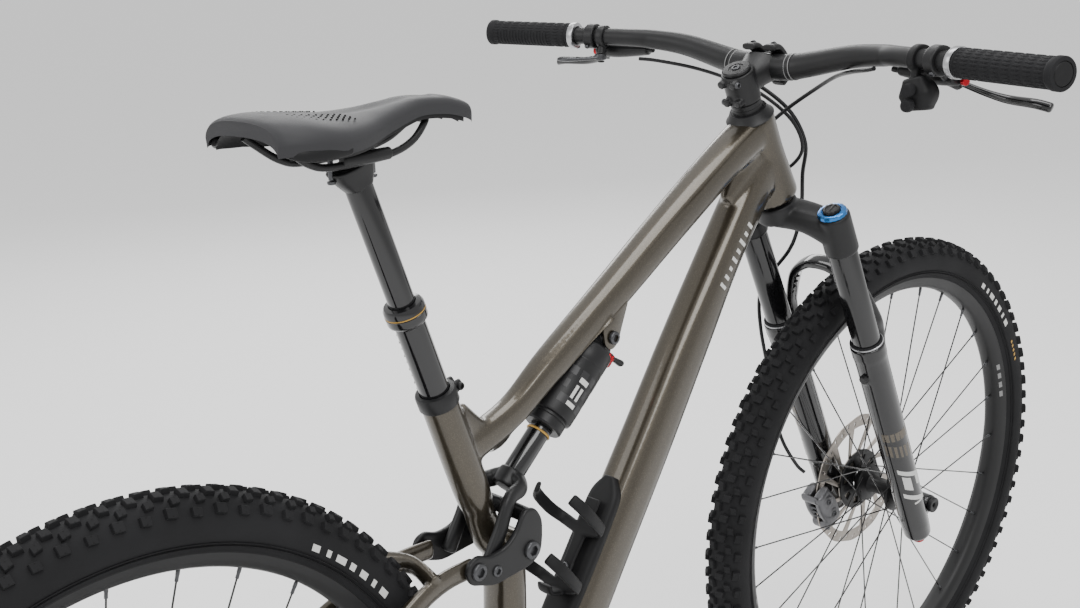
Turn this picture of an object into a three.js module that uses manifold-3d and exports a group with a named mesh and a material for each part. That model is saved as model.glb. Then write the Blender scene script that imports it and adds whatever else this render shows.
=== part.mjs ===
// Full-suspension mountain bike, built as an assembly of its real pieces.
// Millimetres, +X forward, +Y to the rider's left, +Z up. Inside the bike group the
// bottom bracket is above x = 0 and the ground is z = 0.
import * as THREE from 'three';
import * as BufferGeometryUtils from 'three/addons/utils/BufferGeometryUtils.js';
import Module from 'manifold-3d';

const wasm = await Module();
wasm.setup();

// ---- driving dimensions -------------------------------------------------------------
const GAP = 0.35; // clearance between touching pieces
const AXLE_HEIGHT = 371; // both wheels: 29 in rims with 2.3 in tyres
const TYRE_RADIUS = 371;
const TYRE_HALF_WIDTH = 30;
const BB_HEIGHT = 333;
const CHAINSTAY_LENGTH = 435.5;
const HEAD_ANGLE = THREE.MathUtils.degToRad(64.3);
const SEAT_ANGLE = THREE.MathUtils.degToRad(70);
const REACH = 452; // top of the head tube ahead of the bottom bracket
const HEAD_TOP_HEIGHT = 953.9;
const HEAD_TUBE_LENGTH = 115;
const LOWER_CUP = 7;
const AXLE_TO_CROWN = 545; // measured along the steering axis
const FORK_OFFSET = 44;
const STEER_REST = THREE.MathUtils.degToRad(-3.4); // the bar stands slightly to the right
const LEG_SPREAD = 69; // each fork leg from the centre plane
const LEG_OFFSET = 16.6; // fork legs ahead of the steering axis
const STANCHION_RADIUS = 18;
const FORK_SEAL = 226; // top of the fork lowers below the crown race
const BAR_CLAMP = new THREE.Vector3(473, 0, 1013.4);
const BAR_BEND = new THREE.Vector3(448, 210, 1038.5); // the straight grip part starts here
const BAR_END = new THREE.Vector3(394, 402, 1040);
const GRIP_LENGTH = 135;
const BRAKE_TILT = THREE.MathUtils.degToRad(28); // the brake levers below level
const CRANK_LENGTH = 170;
const Q_HALF = 86; // pedal face of the crank from the centre plane
const CHAINLINE = 52;
const CHAINRING_RADIUS = 66;
const COG_RADIUS = 50; // the cog that the chain is on
const CHAIN_THICK = 2.6;
const CHAIN_HALF_WIDTH = 1.4;
const ROTOR_RADIUS = 100;
const ROTOR_Y = 40;
const SPOKES = 28;
const SPOKE_REACH = 295.3;
const GROUND_SHIFT = 174; // the origin is midway between the tyres' ends

const BB = new THREE.Vector3(0, 0, BB_HEIGHT);
const CHAINSTAY_DROP = AXLE_HEIGHT - BB_HEIGHT;
const REAR_AXLE = new THREE.Vector3(-Math.sqrt(CHAINSTAY_LENGTH ** 2 - CHAINSTAY_DROP ** 2), 0,
  AXLE_HEIGHT);
const STEER_DOWN = new THREE.Vector3(Math.cos(HEAD_ANGLE), 0, -Math.sin(HEAD_ANGLE));
const STEER_AHEAD = new THREE.Vector3(Math.sin(HEAD_ANGLE), 0, Math.cos(HEAD_ANGLE));
const HEAD_TOP = new THREE.Vector3(REACH, 0, HEAD_TOP_HEIGHT);
const SEAT_UP = new THREE.Vector3(-Math.cos(SEAT_ANGLE), 0, Math.sin(SEAT_ANGLE));
const SEAT_COLLAR = new THREE.Vector3(-64, 0, 737);
const MAIN_PIVOT = new THREE.Vector3(-8, 0, 376);
const HORST_PIVOT = new THREE.Vector3(-395, 0, 346);
const STAY_PIVOT = new THREE.Vector3(-57, 0, 558);
const YOKE_PIVOT = new THREE.Vector3(-32, 0, 550);
const ROCKER_PIVOT = new THREE.Vector3(18, 0, 556);
const SHOCK_EYE = new THREE.Vector3(178, 0, 745);
const SHOCK_ANGLE = THREE.MathUtils.degToRad(40.7);
const SHOCK_DOWN = new THREE.Vector3(-Math.cos(SHOCK_ANGLE), 0, -Math.sin(SHOCK_ANGLE));
const SHOCK_SWING = THREE.MathUtils.degToRad(5.3); // the shock's swing at full travel
const SIDE = new THREE.Vector3(0, 1, 0);
const FORWARD = new THREE.Vector3(1, 0, 0);
const CROWN = HEAD_TOP.clone().addScaledVector(STEER_DOWN, HEAD_TUBE_LENGTH + LOWER_CUP);

// ---- materials ----------------------------------------------------------------------
const finish = (color, roughness, metalness) =>
  new THREE.MeshStandardMaterial({ color, roughness, metalness });
const PAINT = finish(0x5a5146, 0.35, 0.6);
const SATIN_BLACK = finish(0x1c1c1e, 0.5, 0.1);
const GLOSS_BLACK = finish(0x0a0a0b, 0.12, 0.2);
const GREY_ALLOY = finish(0x3c3d40, 0.4, 0.7);
const RUBBER = finish(0x1d1d1f, 0.9, 0.0);
const GRIP_RUBBER = finish(0x2b2b2d, 0.85, 0.0);
const STEEL = finish(0xa39a8c, 0.3, 0.9);
const HOSE_BLACK = finish(0x101011, 0.45, 0.0);
const BLUE_ANODISED = finish(0x1f5f9e, 0.25, 0.8);
const SADDLE_SKIN = finish(0x3a3a3d, 0.7, 0.0);

// ---- building blocks ----------------------------------------------------------------
const vec = (x, y, z) => new THREE.Vector3(x, y, z);
const alongSteer = (down, ahead = 0, y = 0) =>
  HEAD_TOP.clone().addScaledVector(STEER_DOWN, down).addScaledVector(STEER_AHEAD,
    ahead).add(vec(0, y, 0));
const alongCrown = (down, ahead = 0, y = 0) => alongSteer(HEAD_TUBE_LENGTH + LOWER_CUP + down, ahead, y);
const alongSeat = (up, ahead = 0, y = 0) =>
  SEAT_COLLAR.clone().addScaledVector(SEAT_UP,
    up).add(vec(ahead * Math.sin(SEAT_ANGLE), y, ahead * Math.cos(SEAT_ANGLE)));
const alongShock = (down, above = 0, y = 0) =>
  SHOCK_EYE.clone().addScaledVector(SHOCK_DOWN, down)
    .add(vec(-above * Math.sin(SHOCK_ANGLE), y, above * Math.cos(SHOCK_ANGLE)));

// A closed three.js geometry as a solid that can be joined and cut.
function solid(geometry) {
  const bare = geometry.clone();
  for (const name of Object.keys(bare.attributes)) {
    if (name !== 'position') bare.deleteAttribute(name);
  }
  const merged = BufferGeometryUtils.mergeVertices(bare, 1e-3);
  const index = merged.index.array;
  const kept = [];
  for (let i = 0; i < index.length; i += 3) {
    const [a, b, c] = [index[i], index[i + 1], index[i + 2]];
    if (a !== b && b !== c && c !== a) kept.push(a, b, c);
  }
  return new wasm.Manifold(new wasm.Mesh({
    numProp: 3,
    vertProperties: new Float32Array(merged.attributes.position.array),
    triVerts: new Uint32Array(kept),
  }));
}

const join = (...solids) => solids.flat().reduce((sum, next) => sum.add(next));
const cut = (body, ...tools) => tools.flat().reduce((rest, tool) => rest.subtract(tool), body);

function toGeometry(body) {
  const { vertProperties, triVerts } = body.getMesh();
  const geometry = new THREE.BufferGeometry();
  geometry.setAttribute('position', new THREE.BufferAttribute(new Float32Array(vertProperties), 3));
  geometry.setIndex(new THREE.BufferAttribute(new Uint32Array(triVerts), 1));
  geometry.computeVertexNormals();
  return geometry;
}

function addPiece(parent, name, body, material) {
  const mesh = new THREE.Mesh(toGeometry(body), material);
  mesh.name = name;
  parent.add(mesh);
  return mesh;
}

// Points of a rounded outline: power 1 is an ellipse, smaller powers are squarer.
function ring(centre, across, depth, halfAcross, halfDepth, sides, power = 1) {
  const points = [];
  for (let i = 0; i < sides; i += 1) {
    const angle = (2 * Math.PI * (i + 0.5)) / sides;
    const u = Math.sign(Math.cos(angle)) * Math.abs(Math.cos(angle)) ** power * halfAcross;
    const v = Math.sign(Math.sin(angle)) * Math.abs(Math.sin(angle)) ** power * halfDepth;
    points.push(centre.clone().addScaledVector(across, u).addScaledVector(depth, v));
  }
  return points;
}

// One closed skin through a row of rings that all have the same number of points.
function loft(rings) {
  const sides = rings[0].length;
  const corners = [];
  const quad = (a, b, c, d) => corners.push(a, b, c, a, c, d);
  for (let i = 0; i + 1 < rings.length; i += 1) {
    for (let k = 0; k < sides; k += 1) {
      const next = (k + 1) % sides;
      quad(i * sides + k, i * sides + next, (i + 1) * sides + next, (i + 1) * sides + k);
    }
  }
  const last = (rings.length - 1) * sides;
  for (let k = 1; k + 1 < sides; k += 1) {
    corners.push(0, k + 1, k, last, last + k, last + k + 1);
  }
  const geometry = new THREE.BufferGeometry().setFromPoints(rings.flat());
  geometry.setIndex(corners);
  const body = solid(geometry);
  if (body.volume() > 0) return body;
  geometry.setIndex(corners.slice().reverse());
  return solid(geometry);
}

// A tapered, bent member through stations [centre, half width, half depth]. The width
// runs along "across"; the depth is square to it and to the member's own direction.
function limb(stations, { across = SIDE, sides = 12, power = 1, grow = 0 } = {}) {
  const rings = stations.map(([centre, halfAcross, halfDepth], i) => {
    const before = stations[Math.max(i - 1, 0)][0];
    const after = stations[Math.min(i + 1, stations.length - 1)][0];
    const along = after.clone().sub(before).normalize();
    const depth = along.clone().cross(across).normalize();
    const wide = depth.clone().cross(along).normalize();
    return ring(centre, wide, depth, halfAcross + grow, halfDepth + grow, sides, power);
  });
  return loft(rings);
}

// A round bar from one point to another.
function bar(from, to, radius, sides = 16, radiusTo = radius) {
  const along = to.clone().sub(from);
  const geometry = new THREE.CylinderGeometry(radiusTo, radius, along.length(), sides);
  const turn = new THREE.Quaternion().setFromUnitVectors(SIDE, along.clone().normalize());
  geometry.applyQuaternion(turn);
  const middle = from.clone().add(to).multiplyScalar(0.5);
  geometry.translate(middle.x, middle.y, middle.z);
  return solid(geometry);
}

// A bar across the bike, from y = from to y = to.
const crossBar = (at, from, to, radius, sides = 16) =>
  bar(vec(at.x, from, at.z), vec(at.x, to, at.z), radius, sides);

// A ring or turned piece: the profile is [radius, distance along the axis].
function turned(profile, segments, origin = vec(0, 0, 0), axis = SIDE) {
  const geometry = new THREE.LatheGeometry(profile.map(([r, y]) => new THREE.Vector2(r, y)), segments);
  geometry.applyQuaternion(new THREE.Quaternion().setFromUnitVectors(SIDE, axis));
  geometry.translate(origin.x, origin.y, origin.z);
  const body = solid(geometry);
  if (body.volume() > 0) return body;
  return turned(profile.slice().reverse(), segments, origin, axis);
}

const closedLoop = (points) => [...points, points[0]];

// A flat plate: an outline in the x-z plane given a thickness from y = from to y = to.
function plate(shape, from, to, curveSegments = 6) {
  const geometry = new THREE.ExtrudeGeometry(shape,
    { depth: to - from, bevelEnabled: false, curveSegments });
  geometry.rotateX(Math.PI / 2);
  geometry.translate(0, to, 0);
  return solid(geometry);
}

function outline(points) {
  return new THREE.Shape(points.map(([x, z]) => new THREE.Vector2(x, z)));
}

// A hose or wire of constant section through hand-chosen points.
function hose(points, radius, steps, sides = 8, closed = false) {
  const circle = new THREE.Shape();
  for (let i = 0; i < sides; i += 1) {
    const angle = (2 * Math.PI * i) / sides;
    const [x, y] = [radius * Math.cos(angle), radius * Math.sin(angle)];
    if (i === 0) circle.moveTo(x, y);
    else circle.lineTo(x, y);
  }
  circle.closePath();
  const path = new THREE.CatmullRomCurve3(points.map(([x, y, z]) => vec(x, y, z)), closed, 'centripetal');
  return solid(new THREE.ExtrudeGeometry(circle, { steps, extrudePath: path, bevelEnabled: false }));
}

// ---- frame --------------------------------------------------------------------------
const headTube = (grow) => limb([
  [alongSteer(-grow), 27, 29],
  [alongSteer(HEAD_TUBE_LENGTH * 0.5), 27, 30],
  [alongSteer(HEAD_TUBE_LENGTH + grow), 30, 32],
], { sides: 12, grow });

const topTube = (grow) => limb([
  [vec(448, 0, 934), 25, 20],
  [vec(395, 0, 907), 23, 20],
  [vec(300, 0, 852), 21, 20],
  [vec(200, 0, 791), 19.5, 19],
  [vec(100, 0, 732), 17, 17.5],
  [vec(35, 0, 692), 14, 16],
  [vec(-28, 0, 672), 14, 19],
], { sides: 12, power: 0.6, grow });

const downTube = (grow) => limb([
  [vec(474, 0, 895), 24, 28],
  [vec(397, 0, 800), 24, 25],
  [vec(326, 0, 700), 25, 29],
  [vec(257, 0, 600), 26, 31],
  [vec(180, 0, 492), 27, 32],
  [vec(118, 0, 405), 28, 32],
  [vec(64, 0, 350), 31, 30],
  [vec(0, 0, BB_HEIGHT), 24, 23],
], { sides: 12, power: 0.7, grow });

const seatTube = (grow) => join(
  limb([
    [alongSeat(-8), 19.5, 19.5],
    [alongSeat(-75), 19.5, 20],
    [alongSeat(-125), 19.5, 20],
    [alongSeat(-158), 14, 15],
  ], { sides: 12, grow }),
  limb([
    [alongSeat(-145), 13, 17],
    [vec(-2, 0, 565), 14, 18],
    [vec(17, 0, 545), 24, 19],
    [vec(19, 0, 485), 24, 20],
    [vec(14, 0, 410), 23, 22],
    [vec(6, 0, 352), 22, 24],
  ], { sides: 12, power: 0.8, grow }),
);

// ---- wheels -------------------------------------------------------------------------
function tyre(segments) {
  const halfOutside = [[TYRE_RADIUS, 0], [TYRE_RADIUS - 7, 24], [TYRE_RADIUS - 24, TYRE_HALF_WIDTH],
    [316.5, 15.2], [309, 15.2]];
  const halfInside = [[309, 12], [346, 25], [362.5, 0]];
  const there = [...halfOutside, ...halfInside];
  const back = there.slice(1, -1).reverse().map(([r, y]) => [r, -y]);
  return turned(closedLoop([...there, ...back]), segments);
}

function rim(segments) {
  const half = [[297.5, 8], [301, 14], [314, 18.2], [316, 15.6], [308, 15.6]];
  const well = [304.5, 0];
  const back = [...half].reverse().map(([r, y]) => [r, -y]);
  return turned(closedLoop([...half, well, ...back]), segments);
}

// The hub shell with its spokes, alternately from the left and the right flange.
function hub(flangeLeft, flangeRight, endLeft, endRight, bore) {
  const half = [[bore, endRight], [bore, endLeft], [13, endLeft], [14, flangeLeft + 8],
    [28, flangeLeft + 2],
    [28, flangeLeft - 2], [14, flangeLeft - 7], [14, flangeRight + 7], [28, flangeRight + 2],
    [28, flangeRight - 2], [14, flangeRight - 8], [13, endRight]];
  const pieces = [turned(closedLoop(half), 16)];
  for (let i = 0; i < SPOKES; i += 1) {
    const side = i % 2 === 0 ? flangeLeft : flangeRight;
    const angle = (2 * Math.PI * i) / SPOKES;
    const from = vec(24 * Math.sin(angle), side, 24 * Math.cos(angle));
    const to = vec(SPOKE_REACH * Math.sin(angle), side * 0.06, SPOKE_REACH * Math.cos(angle));
    pieces.push(bar(from, to, 1.2, 3));
  }
  return join(pieces);
}

const rotor = (radius, y) =>
  turned(closedLoop([[20, y - 0.9], [radius, y - 0.9], [radius, y + 0.9], [20, y + 0.9]]), 28);

// ---- assembling ---------------------------------------------------------------------
const bike = new THREE.Group();

function buildFrame(parent) {
  const steererBore = bar(alongSteer(-30), alongSteer(HEAD_TUBE_LENGTH + 30), 17, 20);
  const seatBore = bar(alongSeat(-138.5), alongSeat(40), 15.9 + GAP, 20);
  const pivotHole = crossBar(MAIN_PIVOT, -60, 60, 8.3, 12);
  const bbBore = crossBar(BB, -60, 60, 15.3, 16);
  const rockerBore = crossBar(ROCKER_PIVOT, -60, 60, 6.3, 12);
  addPiece(parent, 'head_tube', cut(headTube(0), steererBore), PAINT);
  const bracket = join(
    plate(outline([[162, 770], [228, 790], [214, 748], [190, 732], [174, 731], [166, 742]]), -20, -15.5),
    plate(outline([[162, 770], [228, 790], [214, 748], [190, 732], [174, 731], [166, 742]]), 15.5, 20),
  );
  const shockRoom = [0, 0.5, 1].map((part) => {
    const swung = SHOCK_DOWN.clone().applyAxisAngle(SIDE, part * SHOCK_SWING);
    const lowEnd = SHOCK_EYE.clone().addScaledVector(swung, 134);
    return bar(SHOCK_EYE.clone().addScaledVector(swung, -12), lowEnd, 28.5, 24);
  });
  const aboveHead = bar(alongSteer(-70), alongSteer(0), 44, 16);
  addPiece(parent, 'top_tube',
    cut(join(cut(topTube(0), shockRoom), bracket), headTube(GAP), aboveHead, seatTube(GAP),
    seatBore, crossBar(SHOCK_EYE, -40, 40, 5.3, 12)), PAINT);
  const shell = crossBar(BB, -36, 36, 24, 20);
  const pivotBoss = (grow) =>
    limb([[vec(-4, 0, 345), 22, 20], [vec(-8, 0, 378), 22, 16]], { sides: 8, power: 0.7, grow });
  addPiece(parent, 'down_tube', cut(join(downTube(0), shell, pivotBoss(0)), headTube(GAP), topTube(GAP),
    bbBore, pivotHole), PAINT);
  addPiece(parent, 'seat_tube', cut(join(seatTube(0), crossBar(ROCKER_PIVOT, -36, 36, 15, 16)),
    downTube(GAP), crossBar(BB, -36.5, 36.5, 24 + GAP, 20),
    pivotBoss(GAP),
    seatBore, rockerBore), PAINT);

  const collar = cut(bar(alongSeat(-9), alongSeat(8), 21.5, 20),
    bar(alongSeat(-40), alongSeat(40), 15.9 + GAP, 20));
  const collarLug = bar(alongSeat(0, 24, -9), alongSeat(0, 24, 9), 5, 12);
  addPiece(parent, 'seat_collar', cut(join(collar, collarLug), seatTube(GAP),
    bar(alongSeat(-40), alongSeat(40), 15.9 + GAP, 20)), SATIN_BLACK);
  const outerTube = join(bar(alongSeat(-136.5), alongSeat(99), 15.6, 20),
    bar(alongSeat(91), alongSeat(112), 21, 20, 20));
  addPiece(parent, 'dropper_outer',
    cut(outerTube, bar(alongSeat(-134), alongSeat(130), 13.5 + GAP, 20)), SATIN_BLACK);

  const doorOutline = limb([
    [vec(192, 0, 563), 10, 6],
    [vec(184, 0, 551), 20, 6],
    [vec(170, 0, 532), 23, 6],
    [vec(96, 0, 428), 24, 6],
  ], { sides: 8, power: 0.6 });
  const raised = limb([[vec(192, 0, 563), 22, 9.5], [vec(96, 0, 428), 24, 9.5]], { sides: 8, power: 0.6 });
  addPiece(parent, 'storage_door', cut(raised.intersect(doorOutline), downTube(GAP)), SATIN_BLACK);
  buildBottleCage(parent);
}

// Side-entry bottle cage: a spine on the door and two arms that reach round the bottle.
function buildBottleCage(parent) {
  const along = vec(96, 0, 135).normalize();
  const out = vec(-along.z, 0, along.x);
  const foot = vec(107, 0, 455);
  const at = (up, away, y) =>
    foot.clone().addScaledVector(along, up).addScaledVector(out, away).add(vec(0, y, 0));
  const spine = limb([[at(0, 10, 0), 9, 3], [at(110, 10, 0), 11, 3]], { sides: 6, power: 0.5 });
  const arm = (y, low) => limb([
    [at(low, 10, 0), 4, 7], [at(low + 6, 13, y * 0.75), 4, 7], [at(low + 10, 32, y), 3, 8],
    [at(low + 18, 62, y), 3, 8], [at(low + 24, 78, y * 0.7), 3, 8],
  ], { across: along, sides: 6 });
  const lip = limb([[at(2, 10, 0), 12, 3], [at(-4, 26, 0), 12, 3], [at(2, 34, 0), 12, 3]],
    { sides: 8, power: 0.5 });
  addPiece(parent, 'bottle_cage', join(spine, arm(-37, 6), arm(37, 6), arm(-37, 74), arm(37, 74), lip),
    SATIN_BLACK);
}

// ---- front end, all of it turning about the steering axis -----------------------------
function barPath(side) {
  return [
    [vec(BAR_CLAMP.x, 0, BAR_CLAMP.z), 15.9], [vec(BAR_CLAMP.x, side * 32, BAR_CLAMP.z), 15.9],
    [vec(476, side * 60, 1018), 15], [vec(474, side * 120, 1031), 13.4],
    [vec(464, side * 168, 1036.5), 12.2], [BAR_BEND.clone().setY(side * BAR_BEND.y), 11.1],
      [vec(BAR_END.x, side * (BAR_END.y - 2), BAR_END.z), 11.1],
  ];
}

const barHalf = (side) => limb(barPath(side).map(([p, r]) => [p, r, r]), { across: FORWARD, sides: 8 });
const GRIP_AXIS = BAR_END.clone().sub(BAR_BEND).normalize();
const onGrip = (inwards, side, ahead = 0, above = 0) => {
  const point = BAR_END.clone().addScaledVector(GRIP_AXIS, -inwards);
  return vec(point.x + ahead, side * point.y, point.z + above);
};

// Room for the bar inside the clamps and the grips.
const gripBore = (side) => bar(onGrip(205, side), onGrip(-12, side), 12.1, 12);

function buildCockpit(parent) {
  const steererRoom = bar(alongSteer(-90), alongSteer(40), 14.3 + 2 * GAP, 16);
  const barRoom = crossBar(BAR_CLAMP, -34, 34, 16.9, 16);
  const cover = join(
    bar(alongSteer(-12), alongSteer(-GAP), 22, 24, 29),
    bar(alongSteer(-24), alongSteer(-11), 18, 24));
  addPiece(parent, 'headset_cover', cut(cover, steererRoom), SATIN_BLACK);

  const split = 44; // the faceplate meets the stem here, ahead of the steering axis
  const stemBody = join(
    bar(alongSteer(-64), alongSteer(-24 - GAP), 20, 20),
    limb([
      [alongSteer(-45), 17, 16],
      [alongSteer(-45, 30), 26, 17],
      [alongSteer(-45, split), 26, 19],
    ], { sides: 8, power: 0.7 }),
    limb([
      [alongSteer(-45, split - 14), 27, 24],
      [alongSteer(-45, split - 0.2), 27, 24],
    ], { sides: 8, power: 0.6 }));
  const faceplate = limb([
    [alongSteer(-45, split + 0.2), 27, 24],
    [alongSteer(-45, split + 14), 26, 20],
    [alongSteer(-45, split + 19), 25, 13],
  ], { sides: 8, power: 0.6 });
  addPiece(parent, 'stem', cut(stemBody, barRoom, steererRoom, faceplate), SATIN_BLACK);
  addPiece(parent, 'stem_faceplate', cut(faceplate, barRoom), SATIN_BLACK);
  addPiece(parent, 'top_cap', bar(alongSteer(-69), alongSteer(-64 - GAP), 17, 24), SATIN_BLACK);
  addPiece(parent, 'handlebar', join(barHalf(1), barHalf(-1)), SATIN_BLACK);

  for (const [label, side] of [['left', 1], ['right', -1]]) {
    const gripBody = join(
      bar(onGrip(GRIP_LENGTH, side), onGrip(GRIP_LENGTH - 10, side), 17, 12),
      bar(onGrip(GRIP_LENGTH - 8, side), onGrip(8, side), 15.6, 12),
      bar(onGrip(10, side), onGrip(-2, side), 17, 12));
    addPiece(parent, `grip_${label}`, cut(gripBody, gripBore(side)), GRIP_RUBBER);
    buildBrakeLever(parent, label, side);
  }
  const pod = limb([
    [onGrip(181, -1, -8, -22), 14, 11],
    [onGrip(177, -1, -6, -36), 20, 16],
    [onGrip(175, -1, -6, -50), 15, 12],
  ], { sides: 8, power: 0.7 });
  const podBand = join(
    bar(onGrip(189, -1), onGrip(179, -1), 15.5, 14),
    limb([[onGrip(184, -1, -4, -8), 5, 6], [onGrip(182, -1, -8, -28), 6, 8]], { sides: 8 }));
  const buttonAt = (up) => onGrip(177, -1, -26, -30 - up);
  const buttonBore = (up) => bar(buttonAt(up).add(vec(-6, 0, 0)), buttonAt(up).add(vec(9, 0, 0)), 7.4, 12);
  const podSolid = cut(join(pod, podBand), gripBore(-1), buttonBore(0), buttonBore(16));
  addPiece(parent, 'shifter_pod', podSolid, SATIN_BLACK);
  for (const [name, up] of [['shift_button_up', 0], ['shift_button_down', 16]]) {
    addPiece(parent, name, bar(buttonAt(up).add(vec(-3, 0, 0)), buttonAt(up).add(vec(5, 0, 0)), 7, 12),
      GREY_ALLOY);
  }
  const paddlePivot = onGrip(172, 1, -4, -26);
  const paddle = join(
    bar(paddlePivot.clone().add(vec(0, 0, -4)), paddlePivot.clone().add(vec(0, 0, 4)), 8, 14),
    limb([[paddlePivot, 3, 7], [paddlePivot.clone().add(vec(-16, 12, -2)), 3, 6],
      [paddlePivot.clone().add(vec(-26, 34, -3)), 3.5, 11],
        [paddlePivot.clone().add(vec(-28, 46, -3)), 3.5, 10]],
    { across: vec(0, 0, 1), sides: 8, power: 0.7 }));
  addPiece(parent, 'dropper_lever', paddle, GREY_ALLOY);
}

// A point of the brake, which slopes down and forward from the bar.
const onBrake = (inwards, side, ahead, above) => onGrip(
  inwards, side,
  ahead * Math.cos(BRAKE_TILT) + above * Math.sin(BRAKE_TILT),
  above * Math.cos(BRAKE_TILT) - ahead * Math.sin(BRAKE_TILT));
const BRAKE_UP = vec(Math.sin(BRAKE_TILT), 0, Math.cos(BRAKE_TILT));

// Brake master cylinder with its clamp, and the lever blade on its own pivot.
function buildBrakeLever(parent, label, side) {
  const pivot = onBrake(150, side, 44, -6);
  const abovePivot = (up) => pivot.clone().addScaledVector(BRAKE_UP, up);
  const clamp = bar(onGrip(164, side), onGrip(150, side), 16.5, 14);
  const cylinder = limb([
    [onBrake(150, side, 30, -5), 9, 10],
    [onBrake(190, side, 30, -6), 8.5, 9.5],
    [onBrake(226, side, 24, -7), 6, 7],
  ], { across: BRAKE_UP, sides: 8 });
  const neck = limb([[onBrake(157, side, 10, -2), 7, 8], [onBrake(157, side, 30, -5), 7, 9]], { sides: 8 });
  const lug = (low, high) => limb([
    [onBrake(158, side, 30, (low + high) / 2 - 6), (high - low) / 2, 7],
    [abovePivot((low + high) / 2), (high - low) / 2, 6],
  ], { across: BRAKE_UP, sides: 8 });
  const bladeRoom = bar(abovePivot(-3.8), abovePivot(3.8), 10, 14);
  addPiece(parent, `brake_body_${label}`, cut(join(clamp, cylinder, neck, lug(4, 8), lug(-8, -4)),
    gripBore(side), bladeRoom), SATIN_BLACK);
  const blade = join(
    bar(abovePivot(-3.4), abovePivot(3.4), 6.5, 14),
    limb([
      [pivot, 3.2, 6],
      [onBrake(126, side, 62, -7), 4, 6],
      [onBrake(100, side, 71, -8), 5, 5],
      [onBrake(66, side, 73, -8), 5.5, 4.5],
      [onBrake(48, side, 79, -8), 5.5, 4.5],
    ], { across: BRAKE_UP, sides: 8 }));
  addPiece(parent, `brake_lever_${label}`, blade, GREY_ALLOY);
}

// Room on the right leg's top for the blue cap and its knob.
const CAP_SEAT = 20;

function buildFork(parent) {
  const onLeg = (down, side) => alongCrown(down, LEG_OFFSET, side * LEG_SPREAD);
  const crownArm = (side) => limb([
    [alongCrown(18, 2, 0), 15, 25],
    [alongCrown(26, 9, side * 36), 16, 22],
    [alongCrown(46, LEG_OFFSET, side * LEG_SPREAD), 22, 20.5],
  ], { across: STEER_DOWN, sides: 8, power: 0.8 });
  const crownBody = join(
    bar(alongSteer(-63), alongCrown(4), 14.3, 20),
    bar(alongCrown(0), alongCrown(24), 27, 20),
    [1, -1].map(crownArm),
    [1, -1].map((side) => bar(onLeg(CAP_SEAT, side), onLeg(76, side), 20.5, 16, 21)),
    [1, -1].map((side) => bar(onLeg(30, side), onLeg(392, side), STANCHION_RADIUS, 16)),
  );
  const aboveCap = bar(onLeg(CAP_SEAT - 40, -1), onLeg(CAP_SEAT, -1), 24, 24);
  addPiece(parent, 'fork_crown', cut(crownBody, aboveCap), GLOSS_BLACK);
  addPiece(parent, 'compression_dial', join(
    bar(onLeg(CAP_SEAT - 5, -1), onLeg(CAP_SEAT - GAP, -1), 18.5, 24),
    bar(onLeg(CAP_SEAT - 9, -1), onLeg(CAP_SEAT - 4, -1), 11, 12)), BLUE_ANODISED);

  const arch = (side) => limb([
    [alongCrown(252, LEG_OFFSET + 16, side * LEG_SPREAD), 8, 12],
    [alongCrown(228, LEG_OFFSET + 28, side * 68), 8.5, 6.5],
    [alongCrown(206, LEG_OFFSET + 31, side * 65), 9, 6.5],
    [alongCrown(160, LEG_OFFSET + 33, side * 46), 12, 7],
    [alongCrown(138, LEG_OFFSET + 33, side * 20), 12, 7],
    [alongCrown(134, LEG_OFFSET + 33, 0), 12, 7],
  ], { across: STEER_AHEAD, sides: 8 });
  const leg = (side) => join(
    bar(onLeg(FORK_SEAL, side), onLeg(FORK_SEAL + 26, side), 22.5, 16),
    bar(onLeg(FORK_SEAL + 24, side), onLeg(585, side), 21.5, 16, 19.5),
    limb([
      [onLeg(515, side), 13, 17],
      [alongCrown(545, LEG_OFFSET + 6, side * LEG_SPREAD), 14, 17],
      [onLeg(572, side), 12, 15],
    ], { sides: 8 }),
    crossBar(alongCrown(AXLE_TO_CROWN, FORK_OFFSET), side * 56, side * 82, 13, 16));
  const caliperMount = limb([
    [alongCrown(484, 2, 62), 6, 14],
    [alongCrown(532, -12, 52), 6, 13],
  ], { sides: 8 });
  const bleedDial = bar(alongCrown(275, -8, -LEG_SPREAD), alongCrown(275, LEG_OFFSET, -LEG_SPREAD), 6,
    10);
  const legRoom = (side) =>
    bar(onLeg(FORK_SEAL - 110, side), onLeg(556, side), STANCHION_RADIUS + GAP, 16);
  const axleAt = alongCrown(AXLE_TO_CROWN, FORK_OFFSET);
  const axleRoom = crossBar(axleAt, -100, 100, 7.5 + GAP, 16);
  const rotorRoom = crossBar(axleAt, ROTOR_Y - 5, ROTOR_Y + 5, ROTOR_RADIUS + 5, 16);
  const lowers = join(leg(1), leg(-1), arch(1), arch(-1), caliperMount, bleedDial);
  addPiece(parent, 'fork_lowers', cut(lowers, legRoom(1), legRoom(-1), axleRoom, rotorRoom), SATIN_BLACK);
  addPiece(parent, 'front_axle', join(
    crossBar(axleAt, -84, 80, 7.5, 16),
    crossBar(axleAt, -88, -82.4, 11, 12)), GREY_ALLOY);
  const caliperBlock = limb([
    [alongCrown(494, -44, ROTOR_Y), 17, 20],
    [alongCrown(550, -36, ROTOR_Y), 19, 24],
  ], { sides: 8, power: 0.6 });
  const discSlot = crossBar(axleAt, ROTOR_Y - 2, ROTOR_Y + 2, ROTOR_RADIUS + 3, 32);
  addPiece(parent, 'front_caliper', cut(caliperBlock, discSlot, leg(1), caliperMount), GREY_ALLOY);
  addPiece(parent, 'rebound_knob', bar(onLeg(585 + GAP, -1), onLeg(597, -1), 9, 14), GREY_ALLOY);
}

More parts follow.
